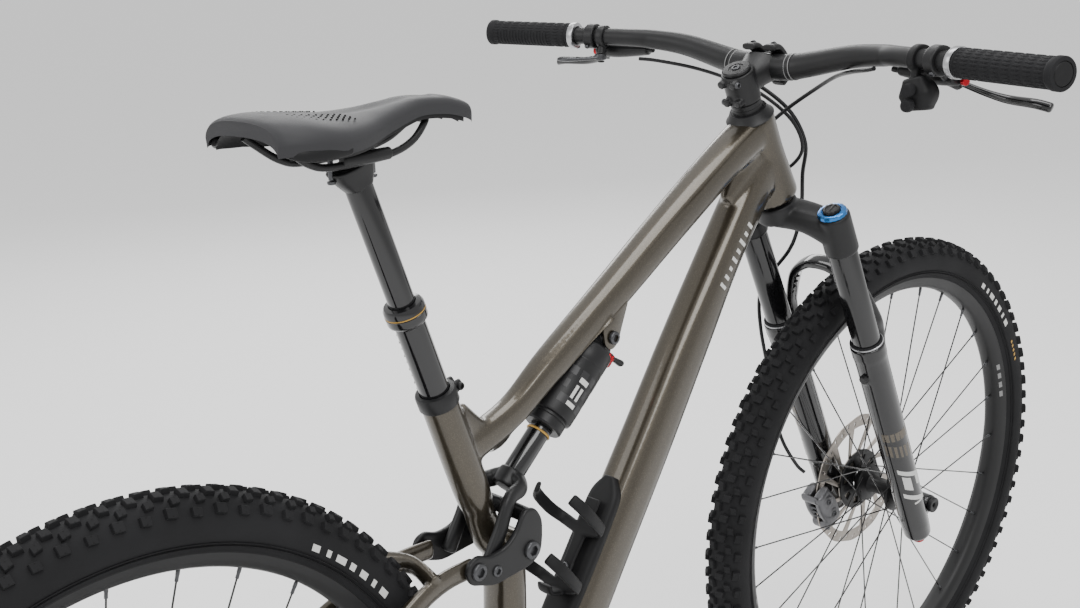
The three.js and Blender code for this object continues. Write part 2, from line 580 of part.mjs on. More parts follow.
function buildFrontWheel(parent) {
  const wheel = new THREE.Group();
  wheel.position.copy(alongCrown(AXLE_TO_CROWN, FORK_OFFSET));
  parent.add(wheel);
  addPiece(wheel, 'front_tyre', tyre(32), RUBBER);
  addPiece(wheel, 'front_rim', rim(32), SATIN_BLACK);
  addPiece(wheel, 'front_hub', hub(20, -26, 34, -54, 7.5 + GAP), SATIN_BLACK);
  addPiece(wheel, 'front_rotor', rotor(ROTOR_RADIUS, ROTOR_Y), STEEL);
}

// Hoses: each leaves its lever or the stem and ends at the frame or the caliper.
function buildHoses(parent) {
  const hoseRadius = 2.6;
  addPiece(parent, 'rear_brake_hose', hose([
    [429, -180.5, 1026.5], [437, -166, 1023], [462, -130, 1016], [499, -84, 1004], [524, -40, 984],
    [528, 0, 958], [517, 24, 934], [503, 33, 918], [490, 33.5, 905],
  ], hoseRadius, 22, 5), HOSE_BLACK);
  addPiece(parent, 'front_brake_hose', hose([
    [476, 180, 1026], [484, 160, 1023], [500, 118, 1012], [511, 75, 996], [522, 36, 978], [542, 8, 948],
    [560, -2, 908], [568, 6, 868], [580, 14, 825], [592, 28, 785], [603, 48, 752], [612, 80, 715],
      [613, 100, 680],
    [618, 101, 630], [638, 100, 560], [655, 98, 490], [663, 88, 448], [664, 64, 420], [665, 50, 412],
  ], hoseRadius, 40, 5), HOSE_BLACK);
  addPiece(parent, 'dropper_cable', hose([
    [452, 182, 1012], [463, 160, 1010], [484, 118, 1002], [500, 76, 990], [517, 36, 972], [538, 4, 940],
    [549, -6, 906], [546, 6, 882], [532, 26, 869], [514, 38, 864], [503, 39, 862],
  ], 2.3, 22, 5), HOSE_BLACK);
}

// ---- rear end -----------------------------------------------------------------------
function buildRear(parent) {
  const stayArm = (side) => limb([
    [vec(-52, side * 36, 372), 9, 13], [vec(-130, side * 43, 362), 7, 12],
      [vec(-240, side * 52, 352), 7, 11],
    [vec(-340, side * 63, 346), 6, 10], [vec(HORST_PIVOT.x + 4, side * 69.5, HORST_PIVOT.z), 5, 11],
  ], { sides: 8 });
  const pivotEnds = [1, -1].map((side) => limb([
    [vec(MAIN_PIVOT.x, side * 31, MAIN_PIVOT.z), 7, 15], [vec(-52, side * 35, 372), 9, 14]],
      { sides: 8 }));
  const link = limb([[vec(-40, -38, 374), 9, 12], [vec(-41, 0, 375), 9, 12], [vec(-40, 38, 374), 9, 12]],
    { across: FORWARD, sides: 8 });
  const pivotDisc = [1, -1].map((side) => crossBar(MAIN_PIVOT, side * 24, side * 38, 15, 16));
  addPiece(parent, 'chainstay', cut(join(stayArm(1), stayArm(-1), pivotEnds, pivotDisc, link,
    crossBar(HORST_PIVOT, 65, 74, 11, 12), crossBar(HORST_PIVOT, -74, -65, 11, 12)),
    crossBar(MAIN_PIVOT, -60, 60, 8.3, 12)), PAINT);

  const dropout = (side) => limb([
    [vec(HORST_PIVOT.x, side * 80, HORST_PIVOT.z), 5, 12],
      [vec(REAR_AXLE.x, side * 80, REAR_AXLE.z), 6, 16]], { sides: 8 });
  const stay = (side) => limb([
    [vec(REAR_AXLE.x + 6, side * 79, REAR_AXLE.z + 8), 6, 13], [vec(-350, side * 70, 432), 7, 11],
    [vec(-240, side * 52, 500), 7, 11], [vec(-150, side * 40, 543), 7, 11],
      [vec(-100, side * 32, 557), 5.4, 11],
    [vec(STAY_PIVOT.x, side * 30.6, STAY_PIVOT.z), 5, 11]], { sides: 8 });
  const bridge = limb([[vec(-110, -38, 560), 7, 12], [vec(-106, 0, 568), 5, 11],
    [vec(-110, 38, 560), 7, 12]],
    { across: FORWARD, sides: 8, power: 0.8 });
  addPiece(parent, 'seatstay', cut(join(dropout(1), dropout(-1), stay(1), stay(-1), bridge),
    crossBar(REAR_AXLE, -100, 100, 6 + GAP, 14)), PAINT);
  addPiece(parent, 'rear_axle',
    join(crossBar(REAR_AXLE, -84, 88, 6, 14), crossBar(REAR_AXLE, 86.5, 91, 10, 12)), GREY_ALLOY);
  buildRearCaliper(parent);
  buildRearWheel(parent);
}

function buildRearCaliper(parent) {
  const block = limb([[vec(-372, ROTOR_Y + 4, 432), 17, 17], [vec(-342, ROTOR_Y + 4, 470), 17, 17]],
    { sides: 8, power: 0.6 });
  const gap = crossBar(REAR_AXLE, ROTOR_Y - 2, ROTOR_Y + 2, ROTOR_RADIUS + 3, 32);
  const stayRoom = limb([
    [vec(REAR_AXLE.x + 6, 79, REAR_AXLE.z + 8), 6.4, 13.4], [vec(-350, 70, 432), 7.4, 11.4],
    [vec(-240, 52, 500), 7.4, 11.4]], { sides: 8 });
  addPiece(parent, 'rear_caliper', cut(block, gap, stayRoom), GREY_ALLOY);
}

function buildRearWheel(parent) {
  const wheel = new THREE.Group();
  wheel.position.copy(REAR_AXLE);
  parent.add(wheel);
  addPiece(wheel, 'rear_tyre', tyre(32), RUBBER);
  addPiece(wheel, 'rear_rim', rim(32), SATIN_BLACK);
  addPiece(wheel, 'rear_hub', hub(26, -14, 34, -20, 6 + GAP), SATIN_BLACK);
  addPiece(wheel, 'rear_rotor', rotor(90, ROTOR_Y), STEEL);
  const cogs = [104, 92, 80, 69, 59, COG_RADIUS, 38, 26];
  const chainCog = cogs.indexOf(COG_RADIUS);
  const pitch = 5.5;
  const steps = cogs.flatMap((radius, i) => {
    const y = -CHAINLINE - (i - chainCog) * pitch;
    return [[radius, y + pitch / 2], [radius, y - pitch / 2]];
  });
  const first = steps[0][1];
  const last = steps[steps.length - 1][1];
  addPiece(wheel, 'cassette', turned(closedLoop([[15, first], ...steps, [15, last]]), 16), GREY_ALLOY);
}

// Points of a belt round circles [centre x, centre z, radius, sense], sense +1 clockwise.
function beltPath(circles, offset) {
  const count = circles.length;
  const contacts = circles.map(() => ({}));
  circles.forEach(([ax, az, ar, as], i) => {
    const next = (i + 1) % count;
    const [bx, bz, br, bs] = circles[next];
    const ra = as * (ar + as * offset);
    const rb = bs * (br + bs * offset);
    const distance = Math.hypot(bx - ax, bz - az);
    const heading = Math.atan2(bz - az, bx - ax);
    const tilt = Math.asin((rb - ra) / distance);
    const normal = heading + Math.PI / 2 + tilt;
    contacts[i].leave = [ax + ra * Math.cos(normal), az + ra * Math.sin(normal)];
    contacts[next].meet = [bx + rb * Math.cos(normal), bz + rb * Math.sin(normal)];
  });
  const points = [];
  circles.forEach(([x, z, , sense], i) => {
    const { meet, leave } = contacts[i];
    const start = Math.atan2(meet[1] - z, meet[0] - x);
    let sweep = Math.atan2(leave[1] - z, leave[0] - x) - start;
    if (sense > 0 && sweep > 0) sweep -= 2 * Math.PI;
    if (sense < 0 && sweep < 0) sweep += 2 * Math.PI;
    const radius = Math.hypot(meet[0] - x, meet[1] - z);
    const steps = Math.max(4, Math.round((Math.abs(sweep) * radius) / 16));
    for (let k = 0; k <= steps; k += 1) {
      const angle = start + (sweep * k) / steps;
      points.push([x + radius * Math.cos(angle), z + radius * Math.sin(angle)]);
    }
  });
  return points;
}

const UPPER_PULLEY = [-437, 268, 24];
const LOWER_PULLEY = [-398, 190, 24];

function buildDrive(parent) {
  const slack = 1;
  const circles = [
    [0, BB_HEIGHT, CHAINRING_RADIUS + slack, 1],
    [LOWER_PULLEY[0], LOWER_PULLEY[1], LOWER_PULLEY[2] + slack, 1],
    [UPPER_PULLEY[0], UPPER_PULLEY[1], UPPER_PULLEY[2] + slack + CHAIN_THICK, -1],
    [REAR_AXLE.x, REAR_AXLE.z, COG_RADIUS + slack, 1],
  ];
  const outside = plate(outline(beltPath(circles, CHAIN_THICK)), -CHAINLINE - CHAIN_HALF_WIDTH,
    -CHAINLINE + CHAIN_HALF_WIDTH);
  const inside = plate(outline(beltPath(circles, 0)), -CHAINLINE - 4, -CHAINLINE + 4);
  addPiece(parent, 'chain', cut(outside, inside), STEEL);

  const ringShape = new THREE.Shape();
  const teeth = 32;
  for (let i = 0; i < teeth; i += 1) {
    for (const [part, r] of [[0, CHAINRING_RADIUS - 6], [0.35, CHAINRING_RADIUS],
      [0.65, CHAINRING_RADIUS]]) {
      const angle = (2 * Math.PI * (i + part)) / teeth;
      const [x, z] = [r * Math.cos(angle), r * Math.sin(angle)];
      if (i === 0 && part === 0) ringShape.moveTo(x, z);
      else ringShape.lineTo(x, z);
    }
  }
  ringShape.closePath();
  const centre = new THREE.Path();
  centre.absarc(0, 0, 15 + GAP, 0, 2 * Math.PI, true);
  ringShape.holes.push(centre);
  const chainring = plate(ringShape, -CHAINLINE - 1.7, -CHAINLINE + 1.7).translate([0, 0, BB_HEIGHT]);
  addPiece(parent, 'chainring', chainring, GREY_ALLOY);

  const crank = (side, inner) => join(
    crossBar(BB, side * inner, side * (Q_HALF - 12), 20, 20),
    limb([[vec(0, side * 71, BB_HEIGHT), 9, 18], [vec(side < 0 ? 60 : -60, side * 74, BB_HEIGHT), 8, 15],
      [vec(side < 0 ? 140 : -140, side * 78, BB_HEIGHT), 7.5, 13],
        [vec(side < 0 ? 170 : -170, side * 78.5, BB_HEIGHT), 7.5, 15]], { sides: 8 }));
  const pedalEye = (side) => vec(side < 0 ? CRANK_LENGTH : -CRANK_LENGTH, 0, BB_HEIGHT);
  const spindle = crossBar(BB, -60, 56, 14.8, 16);
  addPiece(parent, 'crank_right', cut(join(crank(-1, CHAINLINE + 1.7 + GAP), spindle),
    crossBar(pedalEye(-1), -100, -60, 7, 12)), SATIN_BLACK);
  addPiece(parent, 'crank_left', cut(crank(1, 56.5), crossBar(pedalEye(1), 60, 100, 7, 12)), SATIN_BLACK);
  for (const [label, side] of [['right', -1], ['left', 1]]) {
    const eye = pedalEye(side);
    const platform = cut(limb([
      [vec(eye.x, side * (Q_HALF + 6), eye.z), 40, 7], [vec(eye.x, side * (Q_HALF + 16), eye.z), 50, 8.5],
      [vec(eye.x, side * (Q_HALF + 96), eye.z), 50, 8.5],
        [vec(eye.x, side * (Q_HALF + 106), eye.z), 40, 7],
    ], { across: FORWARD, sides: 8, power: 0.4 }),
    bar(vec(eye.x - 28, side * (Q_HALF + 56), eye.z - 20),
      vec(eye.x - 28, side * (Q_HALF + 56), eye.z + 20), 15, 8),
    bar(vec(eye.x + 28, side * (Q_HALF + 56), eye.z - 20),
      vec(eye.x + 28, side * (Q_HALF + 56), eye.z + 20), 15, 8));
    addPiece(parent, `pedal_${label}`,
      join(platform, crossBar(eye, side * 72, side * (Q_HALF + 20), 6.6, 12)), SATIN_BLACK);
  }

  const hangerEnd = vec(-440, -92, 330);
  const derailleurBody = join(
    crossBar(REAR_AXLE, -98, -86 - GAP, 15, 16),
    limb([[vec(REAR_AXLE.x, -93, REAR_AXLE.z), 5, 14], [hangerEnd, 6, 13]], { sides: 8 }),
    limb([[hangerEnd, 9, 14], [vec(-452, -84, 296), 14, 17],
      [vec(UPPER_PULLEY[0], -76, UPPER_PULLEY[1]), 9, 16]], { sides: 8, power: 0.8 }));
  addPiece(parent, 'derailleur_body', cut(derailleurBody, crossBar(REAR_AXLE, -100, -80, 6 + GAP, 14),
    crossBar(vec(UPPER_PULLEY[0], 0, UPPER_PULLEY[1]), -66.6, -40, 30, 20)), SATIN_BLACK);
  const cagePlate = (near, far) => limb([
    [vec(UPPER_PULLEY[0], (near + far) / 2, UPPER_PULLEY[1]), (far - near) / 2, 13],
    [vec(LOWER_PULLEY[0], (near + far) / 2, LOWER_PULLEY[1]), (far - near) / 2, 12]],
      { sides: 8, power: 0.5 });
  const pulley = ([x, z, r]) => crossBar(vec(x, 0, z), -CHAINLINE - 1.2, -CHAINLINE + 1.2, r, 18);
  const pulleyAxle = ([x, z]) => crossBar(vec(x, 0, z), -66, -40, 3.5, 8);
  addPiece(parent, 'derailleur_cage',
    join(cagePlate(-66, -62.5), cagePlate(-43.5, -40), pulley(UPPER_PULLEY),
    pulley(LOWER_PULLEY), pulleyAxle(UPPER_PULLEY), pulleyAxle(LOWER_PULLEY)), GREY_ALLOY);
}

// ---- shock and its linkage ----------------------------------------------------------
function buildLinkage(parent) {
  const plateOutline = new THREE.Shape();
  plateOutline.moveTo(STAY_PIVOT.x - 14, STAY_PIVOT.z);
  plateOutline.absarc(STAY_PIVOT.x, STAY_PIVOT.z, 14, Math.PI, 1.6 * Math.PI, false);
  plateOutline.lineTo(YOKE_PIVOT.x, YOKE_PIVOT.z - 13);
  plateOutline.absarc(ROCKER_PIVOT.x, ROCKER_PIVOT.z, 15, 1.5 * Math.PI, 2.1 * Math.PI, false);
  plateOutline.lineTo(33, 585);
  plateOutline.lineTo(25, 598);
  plateOutline.lineTo(12, 600);
  plateOutline.lineTo(-2, 578);
  plateOutline.lineTo(STAY_PIVOT.x, STAY_PIVOT.z + 14);
  plateOutline.closePath();
  const side = (s) => join(
    plate(plateOutline, s > 0 ? 37.5 : -44.5, s > 0 ? 44.5 : -37.5, 5),
    crossBar(ROCKER_PIVOT, s * 44, s * 49, 10.5, 14),
    crossBar(STAY_PIVOT, s * 44, s * 48, 9, 14),
    crossBar(YOKE_PIVOT, s * 44, s * 46.5, 6.5, 12));
  const bridge = limb([[vec(24, -44, 590), 6, 9], [vec(26, 0, 589), 6, 9], [vec(24, 44, 590), 6, 9]],
    { across: FORWARD, sides: 8, power: 0.8 });
  const pin = crossBar(ROCKER_PIVOT, -45, 45, 6, 12);
  addPiece(parent, 'rocker_link', join(side(1), side(-1), bridge, pin), SATIN_BLACK);

  const yokeArm = (s) => limb([
    [vec(YOKE_PIVOT.x, s * 29.5, YOKE_PIVOT.z), 6, 9], [vec(-12, s * 29.5, 583), 6, 8],
      [vec(4, s * 28, 612), 6, 8],
    [alongShock(198, 0, s * 20), 7, 10], [alongShock(186, 0, s * 4), 7, 12]], { sides: 8, power: 0.8 });
  const shaft = bar(alongShock(196), alongShock(80), 12.4, 20);
  addPiece(parent, 'shock_yoke',
    join(yokeArm(1), yokeArm(-1), bar(alongShock(204), alongShock(184), 15, 16), shaft), GLOSS_BLACK);

  const can = cut(join(
    bar(alongShock(20), alongShock(112), 26, 20),
    bar(alongShock(110), alongShock(126), 22, 20),
    limb([[alongShock(0), 13.5, 12], [alongShock(14), 14, 20], [alongShock(30), 24, 25]],
      { sides: 14, power: 0.8 }),
    limb([[alongShock(8, -14), 12, 11], [alongShock(34, -18), 12, 12]], { sides: 8 })),
  bar(alongShock(30), alongShock(140), 12.4 + GAP, 20));
  const lever = alongShock(14, -30);
  addPiece(parent, 'shock_body',
    cut(join(can, crossBar(SHOCK_EYE, -24, 24, 5, 12), crossBar(SHOCK_EYE, -25, -20.4, 8, 12)),
    bar(lever.clone().addScaledVector(SHOCK_DOWN, -14), lever.clone().addScaledVector(SHOCK_DOWN, 14),
      9.4, 14)), SATIN_BLACK);
  addPiece(parent, 'shock_lever', join(
    bar(alongShock(6, -30), alongShock(20, -30), 8, 14),
    limb([[alongShock(10, -30), 4, 4], [alongShock(4, -44), 4, 4], [alongShock(2, -54), 5, 5]],
      { sides: 8 })), SATIN_BLACK);
}

// ---- seat post and saddle -----------------------------------------------------------
function buildSaddle(parent) {
  const post = join(
    bar(alongSeat(-8), alongSeat(250), 13.5, 20),
    limb([[alongSeat(238), 13.5, 14], [alongSeat(247), 15, 20], [alongSeat(262), 18, 25]],
      { sides: 8, power: 0.8 }));
  addPiece(parent, 'dropper_post', post, GLOSS_BLACK);
  const skin = limb([
    [vec(-264, 0, 1030), 60, 9], [vec(-240, 0, 1024), 73, 14], [vec(-200, 0, 1018), 72, 17],
      [vec(-160, 0, 1018), 54, 15],
    [vec(-120, 0, 1023), 32, 13], [vec(-80, 0, 1027), 23, 11], [vec(-40, 0, 1024), 20, 9],
      [vec(-16, 0, 1019), 14, 6],
  ], { sides: 14, power: 0.8 });
  const hollow = limb([
    [vec(-275, 0, 1013), 46, 9], [vec(-240, 0, 1005), 55, 10], [vec(-160, 0, 1003), 40, 10],
      [vec(-95, 0, 1006), 14, 8],
  ], { sides: 8, power: 0.8 });
  addPiece(parent, 'saddle', cut(skin, hollow), SADDLE_SKIN);
  const rail = hose([
    [-248, -26, 1018], [-238, -25, 1010], [-215, -22, 994], [-190, -22, 988], [-130, -22, 990],
      [-95, -18, 998],
    [-72, -11, 1013], [-66, 0, 1014.5], [-72, 11, 1013], [-95, 18, 998], [-130, 22, 990], [-190, 22, 988],
    [-215, 22, 994], [-238, 25, 1010], [-248, 26, 1018]], 3.5, 28, 5);
  addPiece(parent, 'saddle_rails', cut(rail, skin.subtract(hollow), post), SATIN_BLACK);
}

buildFrame(bike);
const steering = new THREE.Group();
steering.position.copy(HEAD_TOP);
steering.quaternion.setFromAxisAngle(STEER_DOWN.clone().negate(), STEER_REST);
bike.add(steering);
const front = new THREE.Group();
front.position.copy(HEAD_TOP).negate();
steering.add(front);
buildCockpit(front);
buildFork(front);
buildFrontWheel(front);
buildHoses(front);
buildRear(bike);
buildDrive(bike);
buildLinkage(bike);
buildSaddle(bike);
bike.position.x = -GROUND_SHIFT;

export default bike;
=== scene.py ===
"""Looks of the full-suspension mountain bike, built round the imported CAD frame.

Shapes are made in millimetres with the bottom bracket above x = 0 and the ground at z = 0,
then moved into the frame's metres. Front-end shapes are made with the bar straight ahead
and turned about the steering axis to where the CAD has them.
"""
import math

import bmesh
import bpy
from mathutils import Matrix, Vector


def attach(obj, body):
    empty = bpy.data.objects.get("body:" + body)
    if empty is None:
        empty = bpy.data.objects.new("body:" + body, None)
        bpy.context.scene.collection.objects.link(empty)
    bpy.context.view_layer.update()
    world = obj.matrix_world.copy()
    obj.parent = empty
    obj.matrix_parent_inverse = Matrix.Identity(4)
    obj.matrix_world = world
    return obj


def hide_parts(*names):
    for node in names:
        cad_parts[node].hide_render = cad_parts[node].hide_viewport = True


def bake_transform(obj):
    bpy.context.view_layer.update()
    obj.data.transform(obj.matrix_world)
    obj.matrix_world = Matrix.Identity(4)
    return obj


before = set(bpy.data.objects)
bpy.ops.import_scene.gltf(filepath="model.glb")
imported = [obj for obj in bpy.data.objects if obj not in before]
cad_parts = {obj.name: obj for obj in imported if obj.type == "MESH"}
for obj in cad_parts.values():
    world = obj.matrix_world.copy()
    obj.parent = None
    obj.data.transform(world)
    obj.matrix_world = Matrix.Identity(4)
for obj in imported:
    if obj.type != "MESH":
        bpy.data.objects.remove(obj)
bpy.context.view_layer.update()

# ---- driving dimensions, millimetres ---------------------------------------------------
GROUND_SHIFT = 174
AXLE_HEIGHT = 371
BB_HEIGHT = 333
CHAINSTAY_LENGTH = 435.5
HEAD_ANGLE = math.radians(64.3)
SEAT_ANGLE = math.radians(70)
SHOCK_ANGLE = math.radians(40.7)
STEER_REST = math.radians(-3.4)
CROWN_DROP = 122
AXLE_TO_CROWN = 545
FORK_OFFSET = 44
LEG_SPREAD = 69
LEG_OFFSET = 16.6
ROTOR_Y = 40
CHAINLINE = 52
Q_HALF = 86
CRANK_LENGTH = 170
RIM_HOLE = 299

BRAKE_TILT = math.radians(28)
BRAKE_UP = Vector((math.sin(BRAKE_TILT), 0, math.cos(BRAKE_TILT)))
SIDE = Vector((0, 1, 0))
FORWARD = Vector((1, 0, 0))
UP = Vector((0, 0, 1))
HEAD_TOP = Vector((452, 0, 953.9))
BAR_CLAMP = Vector((473, 0, 1013.4))
BAR_BEND = Vector((448, 210, 1038.5))
BAR_END = Vector((394, 402, 1040))
GRIP_AXIS = (BAR_END - BAR_BEND).normalized()
SEAT_COLLAR = Vector((-64, 0, 737))
SHOCK_EYE = Vector((178, 0, 745))
MAIN_PIVOT = Vector((-8, 0, 376))
HORST_PIVOT = Vector((-395, 0, 346))
STAY_PIVOT = Vector((-57, 0, 558))
YOKE_PIVOT = Vector((-32, 0, 550))
ROCKER_PIVOT = Vector((18, 0, 556))
BB = Vector((0, 0, BB_HEIGHT))
REAR_AXLE = Vector((-math.sqrt(CHAINSTAY_LENGTH ** 2 - (AXLE_HEIGHT - BB_HEIGHT) ** 2), 0, AXLE_HEIGHT))
STEER_DOWN = Vector((math.cos(HEAD_ANGLE), 0, -math.sin(HEAD_ANGLE)))
STEER_AHEAD = Vector((math.sin(HEAD_ANGLE), 0, math.cos(HEAD_ANGLE)))
SEAT_UP = Vector((-math.cos(SEAT_ANGLE), 0, math.sin(SEAT_ANGLE)))
SEAT_AHEAD = Vector((math.sin(SEAT_ANGLE), 0, math.cos(SEAT_ANGLE)))
SHOCK_DOWN = Vector((-math.cos(SHOCK_ANGLE), 0, -math.sin(SHOCK_ANGLE)))
SHOCK_ABOVE = Vector((-math.sin(SHOCK_ANGLE), 0, math.cos(SHOCK_ANGLE)))
TURN = Matrix.Rotation(STEER_REST, 3, -STEER_DOWN)
FRONT_BODIES = {
    "steering", "fork_slider", "front_wheel", "rebound_knob_body", "compression_dial_body",
    "brake_lever_left_body", "brake_lever_right_body", "dropper_lever_body",
    "shift_button_up_body", "shift_button_down_body"}


def vec(x, y, z):
    return Vector((x, y, z))


def along_steer(down, ahead=0, y=0):
    return HEAD_TOP + STEER_DOWN * down + STEER_AHEAD * ahead + SIDE * y


def along_crown(down, ahead=0, y=0):
    return along_steer(CROWN_DROP + down, ahead, y)


def on_leg(down, side, ahead=0):
    return along_crown(down, LEG_OFFSET + ahead, side * LEG_SPREAD)


def along_seat(up, ahead=0, y=0):
    return SEAT_COLLAR + SEAT_UP * up + SEAT_AHEAD * ahead + SIDE * y


def along_shock(down, above=0, y=0):
    return SHOCK_EYE + SHOCK_DOWN * down + SHOCK_ABOVE * above + SIDE * y


def on_grip(inwards, side, ahead=0, above=0):
    at = BAR_END - GRIP_AXIS * inwards
    return vec(at.x + ahead, side * at.y, at.z + above)


def on_brake(inwards, side, ahead, above):
    """A point of the brake, which slopes down and forward from the bar."""
    return on_grip(inwards, side, ahead * math.cos(BRAKE_TILT) + above * math.sin(BRAKE_TILT),
                   above * math.cos(BRAKE_TILT) - ahead * math.sin(BRAKE_TILT))


def to_world(at):
    return Vector(((at.x - GROUND_SHIFT) / 1000, at.y / 1000, at.z / 1000))


def front_to_world(at):
    return to_world(HEAD_TOP + TURN @ (at - HEAD_TOP))


FRONT_AXLE = along_crown(AXLE_TO_CROWN, FORK_OFFSET)


# ---- mesh building ----------------------------------------------------------------------
def spline(rows, steps):
    """Catmull-Rom through rows of numbers, with steps spans between each two."""
    if steps <= 1 or len(rows) < 3:
        return [list(row) for row in rows]
    smooth = []
    last = len(rows) - 1
    for i in range(last):
        a, b, c, d = rows[max(i - 1, 0)], rows[i], rows[i + 1], rows[min(i + 2, last)]
        for k in range(steps):
            t = k / steps
            smooth.append([0.5 * (2 * q + (r - p) * t + (2 * p - 5 * q + 4 * r - s) * t * t
                                  + (3 * q - p - 3 * r + s) * t ** 3) for p, q, r, s in zip(a, b, c, d)])
    smooth.append(list(rows[last]))
    return smooth


def ring(centre, wide, deep, half_wide, half_deep, sides, power=1.0):
    points = []
    for k in range(sides):
        angle = 2 * math.pi * (k + 0.5) / sides
        c, s = math.cos(angle), math.sin(angle)
        u = math.copysign(abs(c) ** power, c) * half_wide
        v = math.copysign(abs(s) ** power, s) * half_deep
        points.append(centre + wide * u + deep * v)
    return points


def hexagon(angle, radius):
    sixth = math.pi / 3
    return radius * math.cos(sixth / 2) / math.cos(angle % sixth - sixth / 2)


def arc(radius, start, end, steps, u=0.0, v=0.0):
    """Points (u, v) round a circle from one angle to another, angles counted from straight up."""
    angles = [start + (end - start) * k / steps for k in range(steps + 1)]
    return [(u + radius * math.sin(a), v + radius * math.cos(a)) for a in angles]


def circle(radius, steps=48, u=0.0, v=0.0):
    return arc(radius, 0, 2 * math.pi * (steps - 1) / steps, steps - 1, u, v)


def windows(count, gap, outer, inner, steps, lean=0.0):
    """Openings between the arms of a disc; gap is the share of a pitch before and after each."""
    holes = []
    for k in range(count):
        a, b = 2 * math.pi * (k + gap) / count, 2 * math.pi * (k + 1 - gap) / count
        holes.append(arc(outer, a + lean, b + lean, steps[0]) + arc(inner, b, a, steps[1]))
    return holes


def knurled(depth, count, beyond=0.0):
    """A lathe shape with grooves, count of them in a half turn, where the radius is past beyond."""
    def groove(angle, radius, height):
        return radius - (depth if radius > beyond and int(angle * count / math.pi) % 2 else 0)
    return groove


